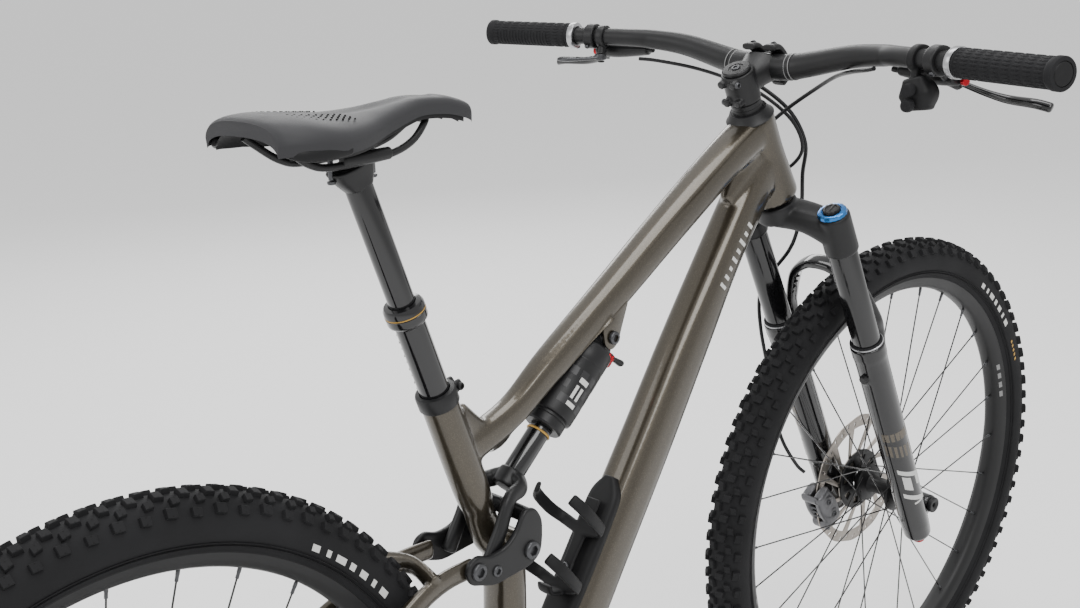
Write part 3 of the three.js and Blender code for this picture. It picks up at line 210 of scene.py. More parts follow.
class Shape:
    """Points in millimetres and faces, gathered from several primitives."""

    def __init__(self):
        self.points = []
        self.faces = []

    def skin(self, rings, closed=False, caps=True):
        """Quads between rings of points, with a face at each end unless closed."""
        base, sides, count = len(self.points), len(rings[0]), len(rings)
        for one in rings:
            self.points.extend(one)
        for i in range(count if closed else count - 1):
            here, there = base + i * sides, base + (i + 1) % count * sides
            for k in range(sides):
                n = (k + 1) % sides
                self.faces.append((here + k, here + n, there + n, there + k))
        if caps and not closed:
            self.faces.append(tuple(base + k for k in reversed(range(sides))))
            self.faces.append(tuple(base + (count - 1) * sides + k for k in range(sides)))
        return self

    def loft(self, stations, across=SIDE, sides=24, power=1.0, steps=5, edge=0.0):
        """A tapered, bent member through [centre, half width, half depth] stations."""
        rows = spline([[*c, a, d] for c, a, d in stations], steps)
        rings = []
        for i, (x, y, z, a, d) in enumerate(rows):
            before, after = rows[max(i - 1, 0)], rows[min(i + 1, len(rows) - 1)]
            along = (Vector(after[:3]) - Vector(before[:3])).normalized()
            deep = along.cross(across).normalized()
            wide = deep.cross(along).normalized()
            rings.append(ring(Vector((x, y, z)), wide, deep, a, d, sides, power))
            if edge and i in (0, len(rows) - 1):
                way = -along if i == 0 else along
                rounded = []
                for turn in (0.35, 0.75, 1.1, 1.45):
                    out = Vector((x, y, z)) + way * edge * math.sin(turn)
                    less = edge * (1 - math.cos(turn))
                    rounded.append(ring(out, wide, deep, max(a - less, 0.3), max(d - less, 0.3), sides,
                                        power))
                rings = rounded[::-1] + rings if i == 0 else rings + rounded
        return self.skin(rings)

    def lathe(self, profile, origin, axis, sides=32, closed=False, shape=None):
        """(radius, height) points turned about axis; shape(angle, radius, height) changes radii."""
        axis = axis.normalized()
        u = axis.cross(SIDE if abs(axis.y) < 0.9 else UP).normalized()
        v = axis.cross(u)
        rings = []
        for radius, height in profile:
            one = []
            for k in range(sides):
                angle = 2 * math.pi * k / sides
                r = max(shape(angle, radius, height) if shape else radius, 0.02)
                one.append(origin + axis * height + (u * math.cos(angle) + v * math.sin(angle)) * r)
            rings.append(one)
        return self.skin(rings, closed)

    def bar(self, start, end, radius, radius_end=None, sides=28, edge=0.6):
        """A round bar, straight or tapered, with rounded rims."""
        radius_end = radius if radius_end is None else radius_end
        length = (end - start).length
        profile = [(radius - edge, 0), (radius - edge * 0.3, edge * 0.3), (radius, edge),
                   (radius_end, length - edge), (radius_end - edge * 0.3, length - edge * 0.3),
                   (radius_end - edge, length)]
        return self.lathe(profile, start, end - start, sides)

    def cross_bar(self, at, start, end, radius, sides=28, edge=0.6):
        """A bar across the bike through at, between two sideways places."""
        return self.bar(vec(at.x, start, at.z), vec(at.x, end, at.z), radius, None, sides, edge)

    def hose(self, path, radius, sides=12):
        rings, wide = [], None
        for i, at in enumerate(path):
            along = (path[min(i + 1, len(path) - 1)] - path[max(i - 1, 0)]).normalized()
            wide = along.orthogonal() if wide is None else wide - along * wide.dot(along)
            wide = wide.normalized()
            rings.append(ring(at, wide, along.cross(wide), radius, radius, sides))
        return self.skin(rings)

    def bolt(self, at, axis, radius=5, height=3, socket=0.55):
        """A domed head with a six-sided socket."""
        axis = axis.normalized()

        def outline(angle, r, h):
            return hexagon(angle, r) if r <= radius * socket * 1.16 else r
        profile = [(radius, 0), (radius, height * 0.5), (radius * 0.93, height * 0.8),
                   (radius * 0.78, height),
                   (radius * socket * 1.15, height), (radius * socket * 1.05, height * 0.9),
                   (radius * socket, height * 0.15), (0.1, height * 0.1)]
        return self.lathe(profile, at, axis, 30, shape=outline)

    def cutout(self, outline, holes, half, place, edge=0.3):
        """A flat plate with holes: outline and holes are lists of (u, v), place maps (u, v, w)."""
        curve = bpy.data.curves.new("cutout", "CURVE")
        curve.dimensions = "2D"
        curve.fill_mode = "BOTH"
        curve.extrude = max(half - edge, 0.01)
        curve.bevel_depth = edge
        curve.bevel_resolution = 1
        for loop in [outline, *holes]:
            line = curve.splines.new("POLY")
            line.points.add(len(loop) - 1)
            for p, (u, v) in zip(line.points, loop):
                p.co = (u, v, 0, 1)
            line.use_cyclic_u = True
        holder = bpy.data.objects.new("cutout", curve)
        bpy.context.scene.collection.objects.link(holder)
        mesh = bpy.data.meshes.new_from_object(holder.evaluated_get(bpy.context.evaluated_depsgraph_get()))
        base = len(self.points)
        self.points.extend(place(*v.co) for v in mesh.vertices)
        self.faces.extend(tuple(base + i for i in f.vertices) for f in mesh.polygons)
        bpy.data.objects.remove(holder)
        bpy.data.curves.remove(curve)
        bpy.data.meshes.remove(mesh)
        return self

    def plate(self, outline, start, end, holes=(), edge=0.5):
        """An upright plate with an outline in (x, z), between two sideways places."""
        middle = (start + end) / 2
        return self.cutout(outline, holes, abs(end - start) / 2, lambda u, v, w: vec(u, middle + w, v), edge)


def as_object(name, shape, turned=False):
    """A mesh object from a shape; turned is for shapes made with the bar straight ahead."""
    place = front_to_world if turned else to_world
    mesh = bpy.data.meshes.new(name)
    mesh.from_pydata([place(p) for p in shape.points], [], shape.faces)
    work = bmesh.new()
    work.from_mesh(mesh)
    bmesh.ops.remove_doubles(work, verts=work.verts, dist=1e-6)
    bmesh.ops.recalc_face_normals(work, faces=work.faces)
    work.to_mesh(mesh)
    work.free()
    obj = bpy.data.objects.new(name, mesh)
    bpy.context.scene.collection.objects.link(obj)
    return obj


def apply_modifiers(obj):
    """Replaces the mesh by what its modifiers make of it."""
    bpy.context.view_layer.update()
    mesh = bpy.data.meshes.new_from_object(obj.evaluated_get(bpy.context.evaluated_depsgraph_get()))
    obj.modifiers.clear()
    old, obj.data = obj.data, mesh
    bpy.data.meshes.remove(old)


def fuse(obj, voxel, smoothing=6):
    """Joins overlapping shells into one skin with small fillets."""
    remesh = obj.modifiers.new("fuse", "REMESH")
    remesh.mode = "VOXEL"
    remesh.voxel_size = voxel / 1000
    relax = obj.modifiers.new("relax", "SMOOTH")
    relax.factor = 0.5
    relax.iterations = smoothing
    apply_modifiers(obj)


def piece(name, shape, body, material, replaces=(), fused=0, smoothing=6, angle=38,
          adjust=None, blend=None):
    """Makes a mesh piece that rides on body, or, when blend is given, stays fixed in world place on no body,
    and returns it.
    """
    obj = as_object(name, shape, body in FRONT_BODIES)
    if fused:
        fuse(obj, fused, smoothing)
    if adjust:
        for vertex in obj.data.vertices:
            vertex.co = adjust(vertex.co)
    obj.data.materials.clear()
    obj.data.materials.append(material)
    obj.data.shade_smooth()
    if not fused:
        obj.data.set_sharp_from_angle(angle=math.radians(angle))
    if replaces:
        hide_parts(*replaces)
    if blend:
        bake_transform(obj)
    else:
        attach(obj, body)
    return obj


# ---- materials --------------------------------------------------------------------------
def finish(name, color, rough, metal=0.0, vary=0.12, grain=(40, 0.05, 0.0004), coat=0.0, flake=0.0,
           second=None, rough_vary=0.08, stretch=None, shine=0.3):
    """A shader with soft colour and gloss variation and a fine surface grain.

    grain is (noise scale per metre, bump strength, bump depth in metres). second is a slow
    second colour that the first drifts towards, and flake the strength of metallic flakes.
    """
    material = bpy.data.materials.new(name)
    material.use_nodes = True
    nodes, links = material.node_tree.nodes, material.node_tree.links
    shader = nodes["Principled BSDF"]
    shader.inputs["Metallic"].default_value = metal
    shader.inputs["Specular IOR Level"].default_value = shine
    shader.inputs["Coat Weight"].default_value = coat
    shader.inputs["Coat Roughness"].default_value = 0.08
    where = nodes.new("ShaderNodeTexCoord").outputs["Object"]
    if stretch:
        mapping = nodes.new("ShaderNodeMapping")
        mapping.inputs["Scale"].default_value = stretch
        links.new(where, mapping.inputs["Vector"])
        where = mapping.outputs["Vector"]

    def noise(scale, detail=3.0):
        node = nodes.new("ShaderNodeTexNoise")
        node.inputs["Scale"].default_value = scale
        node.inputs["Detail"].default_value = detail
        links.new(where, node.inputs["Vector"])
        return node.outputs["Fac"]

    def mix(fac, a, b):
        node = nodes.new("ShaderNodeMix")
        node.data_type = "RGBA"
        links.new(fac, node.inputs["Factor"])
        for socket, value in ((node.inputs["A"], a), (node.inputs["B"], b)):
            if isinstance(value, tuple):
                socket.default_value = (*value, 1)
            else:
                links.new(value, socket)
        return node.outputs["Result"]

    dark = tuple(c * (1 - vary) for c in color)
    light = tuple(c * (1 + vary) for c in (second or color))
    shade = mix(noise(11), dark, light)
    if flake:
        speck = nodes.new("ShaderNodeTexVoronoi")
        speck.inputs["Scale"].default_value = 1400
        links.new(where, speck.inputs["Vector"])
        pick = nodes.new("ShaderNodeMapRange")
        pick.inputs["From Min"].default_value = 0.62
        pick.inputs["From Max"].default_value = 1.0
        pick.inputs["To Max"].default_value = flake
        links.new(speck.outputs["Color"], pick.inputs["Value"])
        shade = mix(pick.outputs["Result"], shade, tuple(min(c * 3.2, 1) for c in color))
    links.new(shade, shader.inputs["Base Color"])
    gloss = nodes.new("ShaderNodeMapRange")
    gloss.inputs["To Min"].default_value = max(rough - rough_vary, 0.02)
    gloss.inputs["To Max"].default_value = min(rough + rough_vary, 1)
    links.new(noise(26, 5.0), gloss.inputs["Value"])
    links.new(gloss.outputs["Result"], shader.inputs["Roughness"])
    bump = nodes.new("ShaderNodeBump")
    bump.inputs["Strength"].default_value = grain[1]
    bump.inputs["Distance"].default_value = grain[2]
    links.new(noise(grain[0], 4.0), bump.inputs["Height"])
    links.new(bump.outputs["Normal"], shader.inputs["Normal"])
    return material


PAINT = finish("frame_paint", (0.05, 0.042, 0.03), 0.3, 0.72, 0.05, (900, 0.05, 0.00005), coat=0.6, flake=0.4,
               second=(0.056, 0.047, 0.033), rough_vary=0.03, shine=0.5)
SATIN = finish("satin_black", (0.009, 0.009, 0.0095), 0.4, 0.0, 0.18, (700, 0.15, 0.0001))
COARSE = finish("moulded_plastic", (0.008, 0.008, 0.0085), 0.5, 0.0, 0.15, (1500, 0.35, 0.0002), shine=0.2)
GLOSS = finish("gloss_black", (0.005, 0.005, 0.0055), 0.13, 0.0, 0.1, (60, 0.02, 0.0001), coat=0.6,
               rough_vary=0.03)
CARBON = finish("matt_carbon", (0.009, 0.009, 0.0095), 0.44, 0.0, 0.25, (220, 0.08, 0.0002),
                stretch=(1, 3, 1))
ALLOY = finish("dark_alloy", (0.075, 0.076, 0.08), 0.36, 0.8, 0.14, (500, 0.12, 0.0001))
SILVER = finish("bare_alloy", (0.42, 0.42, 0.43), 0.3, 0.95, 0.12, (400, 0.1, 0.0001))
STEEL = finish("ground_steel", (0.33, 0.3, 0.27), 0.32, 0.95, 0.15, (900, 0.2, 0.0001), stretch=(1, 4, 1))
BLUE = finish("blue_anodised", (0.02, 0.15, 0.42), 0.24, 0.85, 0.1, coat=0.4)
RED = finish("red_anodised", (0.42, 0.012, 0.02), 0.28, 0.8, 0.1)
GOLD = finish("gold_rubber", (0.42, 0.25, 0.06), 0.4, 0.3, 0.1)
TREAD = finish("tread_rubber", (0.0095, 0.0095, 0.01), 0.72, 0.0, 0.3, (1300, 0.5, 0.0004),
               second=(0.014, 0.014, 0.015), shine=0.14)
GRIP = finish("grip_rubber", (0.013, 0.013, 0.014), 0.7, 0.0, 0.2, (1600, 0.4, 0.0003), shine=0.16)
HOSE = finish("hose_black", (0.009, 0.009, 0.01), 0.34, 0.0, 0.1, (300, 0.05, 0.0001))
SKIN = finish("saddle_cover", (0.03, 0.03, 0.032), 0.56, 0.0, 0.12, (1700, 0.35, 0.0003), shine=0.22)
PALE = finish("pale_decal", (0.55, 0.55, 0.53), 0.45, 0.0, 0.06)
TAUPE = finish("taupe_decal", (0.12, 0.105, 0.085), 0.4, 0.4, 0.06)
GREY_MARK = finish("grey_mark", (0.2, 0.2, 0.2), 0.5, 0.0, 0.1)
GHOST = finish("ghost_mark", (0.024, 0.024, 0.025), 0.34, 0.0, 0.05)
# Near-black painted shade for the insides of the tread slits and the saddle's small holes.
RECESS_SHADE = finish("sipe_shadow", (0.004, 0.004, 0.004), 0.9)
PEWTER = finish("pewter_caliper", (0.12, 0.12, 0.125), 0.34, 0.85, 0.2, (300, 0.2, 0.0002))


# ---- camera, floor and light ------------------------------------------------------------
CAMERA_PLACE = (-1.03975, -0.94026, 1.17316)
CAMERA_RIGHT = Vector((0.75196798, -0.65754559, -0.0466686))
CAMERA_UP = Vector((0.19721248, 0.15684807, 0.96773236))
LENS = 43.69
SENSOR_WIDTH = 36
CAMERA_SHIFT = (0.1002, -0.0228)
FLOOR_HALF = 150000
LIGHTS = [("key", (-1.6, -2.6, 3.6), (0, 0, 0.5), (2.4, 1.6), 85),
          ("fill", (-3.2, 1.6, 2.4), (0, 0, 0.6), (2.2, 2.2), 40),
          ("rim", (2.2, 2.8, 2.6), (0.2, 0, 0.7), (2.6, 1.2), 60),
          ("top", (0.2, 0.0, 3.6), (0.1, 0, 0.5), (3.0, 1.0), 55)]


def build_studio():
    data = bpy.data.cameras.new("camera")
    camera = bpy.data.objects.new("camera", data)
    bpy.context.scene.collection.objects.link(camera)
    turn = Matrix((CAMERA_RIGHT, CAMERA_UP, CAMERA_RIGHT.cross(CAMERA_UP))).transposed().to_4x4()
    camera.matrix_world = Matrix.Translation(CAMERA_PLACE) @ turn
    data.lens = LENS
    data.sensor_width = SENSOR_WIDTH
    data.shift_x, data.shift_y = CAMERA_SHIFT
    data.clip_start = 0.02
    bpy.context.scene.camera = camera

    far = FLOOR_HALF
    floor = Shape().skin([[vec(-far, -far, -1), vec(far, -far, -1)],
                          [vec(-far, far, -1), vec(far, far, -1)]], caps=False)
    floor.faces = [(0, 1, 3, 2)]
    ground = as_object("floor", floor)
    ground.data.materials.append(finish("floor_paper", (0.93, 0.93, 0.93), 0.9, 0.0, 0.005,
                                        (30, 0.02, 0.0002), shine=0.0))

    world = bpy.data.worlds.new("studio")
    bpy.context.scene.world = world
    world.use_nodes = True
    back = world.node_tree.nodes["Background"]
    back.inputs["Color"].default_value = (1, 1, 1, 1)
    back.inputs["Strength"].default_value = 0.98
    for name, at, target, size, power in LIGHTS:
        light = bpy.data.lights.new(name, "AREA")
        light.shape = "RECTANGLE"
        light.size, light.size_y = size
        light.energy = power
        lamp = bpy.data.objects.new(name, light)
        lamp.location = at
        lamp.rotation_euler = (Vector(target) - Vector(at)).to_track_quat("-Z", "Y").to_euler()
        bpy.context.scene.collection.objects.link(lamp)


# ---- frame ------------------------------------------------------------------------------
TOP_TUBE = [(vec(456, 0, 938), 25, 21), (vec(395, 0, 907), 23, 20), (vec(300, 0, 852), 21, 20),
            (vec(200, 0, 791), 19.5, 19), (vec(100, 0, 732), 17, 17.5), (vec(35, 0, 692), 14, 16),
            (vec(-38, 0, 668), 14, 18)]
DOWN_TUBE = [(vec(478, 0, 900), 24, 28), (vec(397, 0, 800), 24, 25), (vec(326, 0, 700), 25, 29),
             (vec(257, 0, 600), 26, 31), (vec(180, 0, 492), 27, 32), (vec(118, 0, 405), 28, 32),
             (vec(64, 0, 350), 31, 30), (vec(0, 0, BB_HEIGHT), 24, 23)]
CAN_ROOM = 28.6


def clear_of_shock(co):
    """Keeps the top tube's underside hollow round the shock, at rest and swung up."""
    at = Vector((co.x * 1000 + GROUND_SHIFT, co.y * 1000, co.z * 1000))
    for swing in (0, 2.65, 5.3):
        down = Matrix.Rotation(math.radians(swing), 3, "Y") @ SHOCK_DOWN
        reach = (at - SHOCK_EYE).dot(down)
        if -14 < reach < 136:
            middle = SHOCK_EYE + down * reach
            away = at - middle
            if 0 < away.length < CAN_ROOM:
                at = middle + away.normalized() * CAN_ROOM
    return to_world(at)


def build_frame():
    skin = Shape()
    skin.loft([(along_steer(0.5), 27, 29), (along_steer(57), 26.5, 29.5), (along_steer(114.5), 30, 32)],
              sides=40, edge=1.2)
    skin.loft(TOP_TUBE, sides=40, power=0.62, steps=8)
    skin.loft(DOWN_TUBE, sides=40, power=0.72, steps=8)
    skin.loft([(vec(452, 0, 905), 21, 30), (vec(424, 0, 873), 14, 22), (vec(408, 0, 855), 8, 12)], sides=24,
              power=0.8)
    skin.loft([(along_seat(-9), 19.5, 19.5), (along_seat(-75), 19.5, 20), (along_seat(-125), 19, 19.5),
               (along_seat(-146), 16, 16.5)], sides=32, edge=9)
    skin.loft([(along_seat(-140), 13, 17), (vec(-2, 0, 565), 14, 18), (vec(17, 0, 545), 23, 19),
               (vec(19, 0, 485), 24, 20),
               (vec(14, 0, 410), 23, 22), (vec(6, 0, 352), 22, 24)], sides=32, power=0.8)
    skin.loft([(along_seat(-34, 12), 13, 17), (vec(2, 0, 672), 10, 15), (vec(30, 0, 676), 8, 10)], sides=20)
    skin.cross_bar(BB, -35.6, 35.6, 24, 40)
    skin.loft([(vec(-4, 0, 345), 22, 20), (vec(-8, 0, 378), 22, 16)], sides=24, power=0.7)
    skin.cross_bar(ROCKER_PIVOT, -35.6, 35.6, 15, 32)
    piece("frame_skin", skin, "frame", PAINT, ("head_tube", "top_tube", "down_tube", "seat_tube"),
          fused=2.6, smoothing=10, adjust=clear_of_shock)

    bracket = Shape()
    outline = rounded([(164, 760), (205, 783), (192, 752), (187, 738), (177, 731), (167, 738)], 7)
    for side in (-1, 1):
        bracket.plate(outline, side * 15.6, side * 19, edge=1.2)
        bracket.bolt(SHOCK_EYE + SIDE * side * 20, SIDE * side, 7.5, 3.5)
    piece("shock_bracket", bracket, "frame", PAINT)

    marks = Shape()
    slant = vec(math.cos(0.9), 0, math.sin(0.9))
    for i, length in enumerate((10, 7, 13, 8, 11, 6, 9, 12)):
        at = vec(421 - i * 7.4, 0, 829 - i * 9.2)
        lean = vec(-0.74, 0, 0.67) * length * 0.5
        for side in (-1, 1):
            marks.loft([(at - lean + SIDE * side * 24.0, 2.3, 0.5),
                        (at + lean + SIDE * side * 24.0, 2.3, 0.5)],
                       across=slant, sides=8, power=0.4, steps=1)
    piece("frame_marks", marks, "frame", PALE)

    ports = Shape()
    for at in (vec(492, 32, 906), vec(505, 32, 862)):
        ports.lathe([(3.2, -6), (5.2, -6), (6.2, -1), (5.2, 1.6), (3.2, 2.0)], at, vec(0.45, 1, 0.3), 24,
                    closed=True)
    piece("cable_ports", ports, "frame", COARSE)
    build_seat_post_outer()
    build_cage()


def rounded(corners, radius, steps=4):
    """An outline with each corner turned into an arc-like bend."""
    smooth = []
    count = len(corners)
    for i, corner in enumerate(corners):
        here = Vector(corner)
        before = Vector(corners[i - 1])
        after = Vector(corners[(i + 1) % count])
        reach = min(radius, (before - here).length * 0.45, (after - here).length * 0.45)
        start = here + (before - here).normalized() * reach
        end = here + (after - here).normalized() * reach
        for k in range(steps + 1):
            t = k / steps
            p = start * (1 - t) ** 2 + here * 2 * t * (1 - t) + end * t * t
            smooth.append((p.x, p.y))
    return smooth


def build_seat_post_outer():
    collar = Shape()
    collar.lathe([(16.4, -9), (20.8, -9), (21.4, -8), (21.5, 5), (20.6, 7.4), (16.4, 8)], SEAT_COLLAR,
                 SEAT_UP, 48, closed=True)
    for side in (-1, 1):
        collar.loft([(along_seat(-1, 17, side * 6), 4.2, 7.5), (along_seat(-1, 27, side * 6), 3.6, 5.5)],
                    sides=20, edge=1.5)
    collar.bar(along_seat(-1, 24, -11), along_seat(-1, 24, 11), 2.6)
    collar.bolt(along_seat(-1, 24, -9.6), -SIDE, 4.2, 3)
    piece("collar", collar, "frame", SATIN, ("seat_collar",))

    tube = Shape()
    profile = [(14.2, -136), (15.6, -136), (15.6, 88), (17.6, 90), (20.4, 92.5), (21.0, 95), (21.0, 101),
               (20.3, 101.6), (20.3, 103), (21.0, 103.6), (20.8, 108), (19.0, 111.4), (14.2, 112)]

    def notched(angle, radius, height):
        return radius - (0.9 if 95 < height < 101 and int(angle * 24 / math.pi) % 2 else 0)
    tube.lathe(profile, SEAT_COLLAR, SEAT_UP, 72, closed=True, shape=notched)
    piece("post_outer", tube, "frame", GLOSS, ("dropper_outer",))
    trim = Shape().lathe([(20.5, 101.9), (21.1, 102.1), (21.1, 103.0), (20.5, 103.2)], SEAT_COLLAR, SEAT_UP,
                         48, closed=True)
    piece("post_trim_ring", trim, "frame", GOLD)
    ticks = Shape()
    behind = -SEAT_AHEAD * 0.72 + SIDE * 0.69
    for i in range(9):
        middle = SEAT_COLLAR + SEAT_UP * (16 + i * 8) + behind * 15.5
        wide = 4.5 if i % 2 else 3
        across = SEAT_UP.cross(behind)
        ticks.loft([(middle - across * wide, 0.5, 0.45), (middle + behind * 0.35, 0.5, 0.45),
                    (middle + across * wide, 0.5, 0.45)],
                   across=SEAT_UP, sides=6, steps=1)
    piece("post_ticks", ticks, "frame", PALE)


def build_cage():
    along = vec(96, 0, 135).normalized()
    out = vec(-along.z, 0, along.x)
    foot = vec(107, 0, 455)

    def at(up, away, y):
        return foot + along * up + out * away + SIDE * y
    door = Shape()
    door.loft([(vec(195, 0, 567), 9, 8.6), (vec(185, 0, 553), 19.5, 9.2), (vec(168, 0, 529), 22, 9.4),
               (vec(132, 0, 478), 22.6, 9.4), (vec(96, 0, 428), 22, 9)], sides=32, power=0.7, edge=2)
    piece("door", door, "frame", COARSE, ("storage_door",))
    cage = Shape()
    cage.loft([(at(-2, 10.2, 0), 9, 2.8), (at(52, 9.4, 0), 8, 2.6), (at(112, 10.2, 0), 10.5, 2.8)],
              sides=20, power=0.6, edge=1)
    for low in (6, 74):
        for side in (-1, 1):
            cage.loft([(at(low, 10, 0), 7, 3), (at(low + 6, 13, side * 28), 7, 3),
                       (at(low + 10, 32, side * 37), 7.4, 2.8), (at(low + 18, 62, side * 37), 7.4, 2.8),
                       (at(low + 24, 78, side * 26), 7, 2.8)], across=along,
                      sides=20, power=0.6, steps=8, edge=1.5)
    cage.loft([(at(2, 10, 0), 11, 2.8), (at(-4, 26, 0), 11, 2.8), (at(2, 34, 0), 11, 2.8)], sides=16,
              power=0.6, edge=1)
    piece("cage", cage, "frame", COARSE, ("bottle_cage",), fused=1.6, smoothing=4)
    bolts = Shape()
    for up in (30, 94):
        bolts.bolt(at(up, 12.6, 0), out, 4.6, 3)
    piece("cage_bolts", bolts, "frame", ALLOY)


# ---- wheels -----------------------------------------------------------------------------
CASING_RADIUS = 26.6
CASING_CENTRE = 339.4
TREAD_RADIUS = CASING_CENTRE + CASING_RADIUS
MARK_RADIUS = 345
MARK_SECTION = math.radians(101)


def casing_point(section, around, lift, centre):
    """A point on the tyre: section 0 is the tread's middle, pi / 2 its side."""
    r = CASING_CENTRE + (CASING_RADIUS + lift) * math.cos(section)
    y = (CASING_RADIUS + lift) * math.sin(section)
    return centre + vec(r * math.sin(around), y, r * math.cos(around))


def knob(shape, section, around, half_long, half_wide, height, centre, lean):
    """A tread block with sloped walls, a rounded top and a slit across it, the slit drawn as a thin
    near-black sheet of painted shade.
    """
    rings = []
    for level, scale in ((-1.2, 1.12), (height * 0.6, 1.0), (height * 0.92, 0.95), (height, 0.86)):
        one = []
        for su, sv in ((-1, -1), (0, -1), (1, -1), (1, 0), (1, 1), (0, 1), (-1, 1), (-1, 0)):
            u = su * half_wide * scale
            v = sv * half_long * scale
            one.append(casing_point(section + (u + v * lean) / CASING_RADIUS, around + v / TREAD_RADIUS,
                                    level, centre))
        rings.append(one)
    shape.skin(rings)
    # The slit is a thin sheet in near-black painted shade, standing in for the shade inside the cut.
    slit = []
    for level, wide in ((height * 0.55, 0.5), (height + 0.05, 0.55)):
        reach = half_wide * 0.8 / CASING_RADIUS
        slit.append([casing_point(section + su * reach, around + sv * wide / TREAD_RADIUS, level, centre)
                     for su, sv in ((-1, -1), (1, -1), (1, 1), (-1, 1))])
    shape.sipes.skin(slit)


def build_tyre(name, body, centre, pattern):
    """Casing, tread, slits shown in painted shade, and marks.

    pattern is the count of blocks round and rows of (section angle, shift, half length,
    half width, height, lean, remainder of the block's number by two or None for all).
    """
    casing = Shape()
    profile = [(309.5, -13), (312, -14.8), (316, -16.6)]
    steps = 26
    for i in range(steps + 1):
        section = math.radians(-128 + 256 * i / steps)
        profile.append((CASING_CENTRE + CASING_RADIUS * math.cos(section), CASING_RADIUS * math.sin(section)))
    profile += [(316, 16.6), (312, 14.8), (309.5, 13), (312, 9), (345, 22), (360, 0), (345, -22), (312, -9)]
    casing.lathe(profile, centre, SIDE, 200, closed=True)
    for side in (-1, 1):
        for radius, y in ((322.5, 22.0), (325.5, 24.0)):
            casing.lathe([(radius - 0.7, side * (y - 1)), (radius, side * (y + 0.7)),
                          (radius + 0.7, side * (y - 0.2))],
                         centre, SIDE, 200, closed=True)
    piece(name + "_casing", casing, body, TREAD, (body.replace("_wheel", "") + "_tyre",))
    blocks = Shape()
    blocks.sipes = Shape()
    count, rows = pattern
    for i in range(count):
        around = 2 * math.pi * i / count
        for section, shift, half_long, half_wide, height, lean, pair in rows:
            if i % 2 != pair and pair is not None:
                continue
            for side in (-1, 1):
                middle = around + (shift + (0.5 if side > 0 else 0)) * 2 * math.pi / count
                knob(blocks, side * math.radians(section), middle, half_long, half_wide, height, centre,
                     side * lean)
    piece(name + "_tread", blocks, body, TREAD, angle=30)
    # Thin near-black sheets of painted shade in the tread slits.
    piece(name + "_sipes", blocks.sipes, body, RECESS_SHADE)
    marks = Shape()
    fine = Shape()
    for side in (-1, 1):
        for start in (0.62, 0.62 + math.pi):
            for k, wide in enumerate((10, 6, 14, 8, 11, 6, 12)):
                patch(marks, side, start + k * 0.052, wide, 6.5, centre)
            for k in range(5):
                patch(fine, side, start + 0.44 + k * 0.026, 4.5, 3.0, centre)
    piece(name + "_marks", marks, body, PALE)
    piece(name + "_fine_marks", fine, body, GOLD)


def patch(shape, side, around, wide, tall, centre):
    """A slanted mark on the tyre's sidewall."""
    rings = []
    for t in (-0.5, 0.5):
        one = []
        for lift in (-0.2, 0.25):
            for s in ((-0.5, 0.5) if lift < 0 else (0.5, -0.5)):
                section = MARK_SECTION + s * tall / CASING_RADIUS
                one.append(casing_point(side * section, around + (t * wide + s * 2.2) / MARK_RADIUS, lift,
                                        centre))
        rings.append(one)
    shape.skin(rings)


FRONT_TREAD = (86, [(12.5, 0.0, 4.9, 4.5, 5.0, 0.15, None), (33, 0.45, 4.3, 3.4, 4.8, -0.2, None),
                    (55, 0.1, 5.6, 4.2, 5.4, 0.1, 0), (58, 0.1, 5.0, 3.6, 5.2, 0.1, 1)])
REAR_TREAD = (92, [(11.5, 0.0, 4.4, 4.6, 4.6, 0.1, None), (31, 0.5, 4.2, 3.4, 4.4, -0.15, None),
                   (53, 0.2, 5.2, 4.0, 4.9, 0.1, 0), (57, 0.2, 4.7, 3.5, 4.7, 0.1, 1)])


def build_rim(name, body, centre):
    rim = Shape()
    half = [(298.2, 0), (299, 7), (302, 11.8), (309, 15.4), (315, 17.2), (316.2, 16.6), (316, 14.6),
            (310, 13.6), (306, 12.8), (305, 5), (304.4, 0)]
    rim.lathe(half + [(r, -y) for r, y in half[-2:0:-1]], centre, SIDE, 180, closed=True)
    piece(name + "_carbon", rim, body, CARBON, (name,))
    marks = Shape()
    for side in (-1, 1):
        for start in (1.15, 1.15 + math.pi):
            for k in range(4):
                rings = []
                for t in range(7):
                    around = start + k * 0.055 + 0.032 * t / 6
                    rings.append([centre + vec(r * math.sin(around), side * (y + lift), r * math.cos(around))
                                  for r, y, lift in ((303.6, 12.7, 0.1), (308.4, 15.1, 0.2),
                                                     (308.4, 15.1, -0.5), (303.6, 12.7, -0.5))])
                marks.skin(rings)
    piece(name + "_marks", marks, body, GREY_MARK)
    valve = Shape()
    valve.lathe([(3.2, 0), (3.2, 3), (4.6, 3.4), (4.6, 6), (2.9, 6.4), (2.9, 30), (3.6, 30.5), (3.6, 37),
                 (1.4, 38), (1.4, 42)],
                centre + vec(0, 0, -300), UP, 20)
    piece(name + "_valve", valve, body, ALLOY)


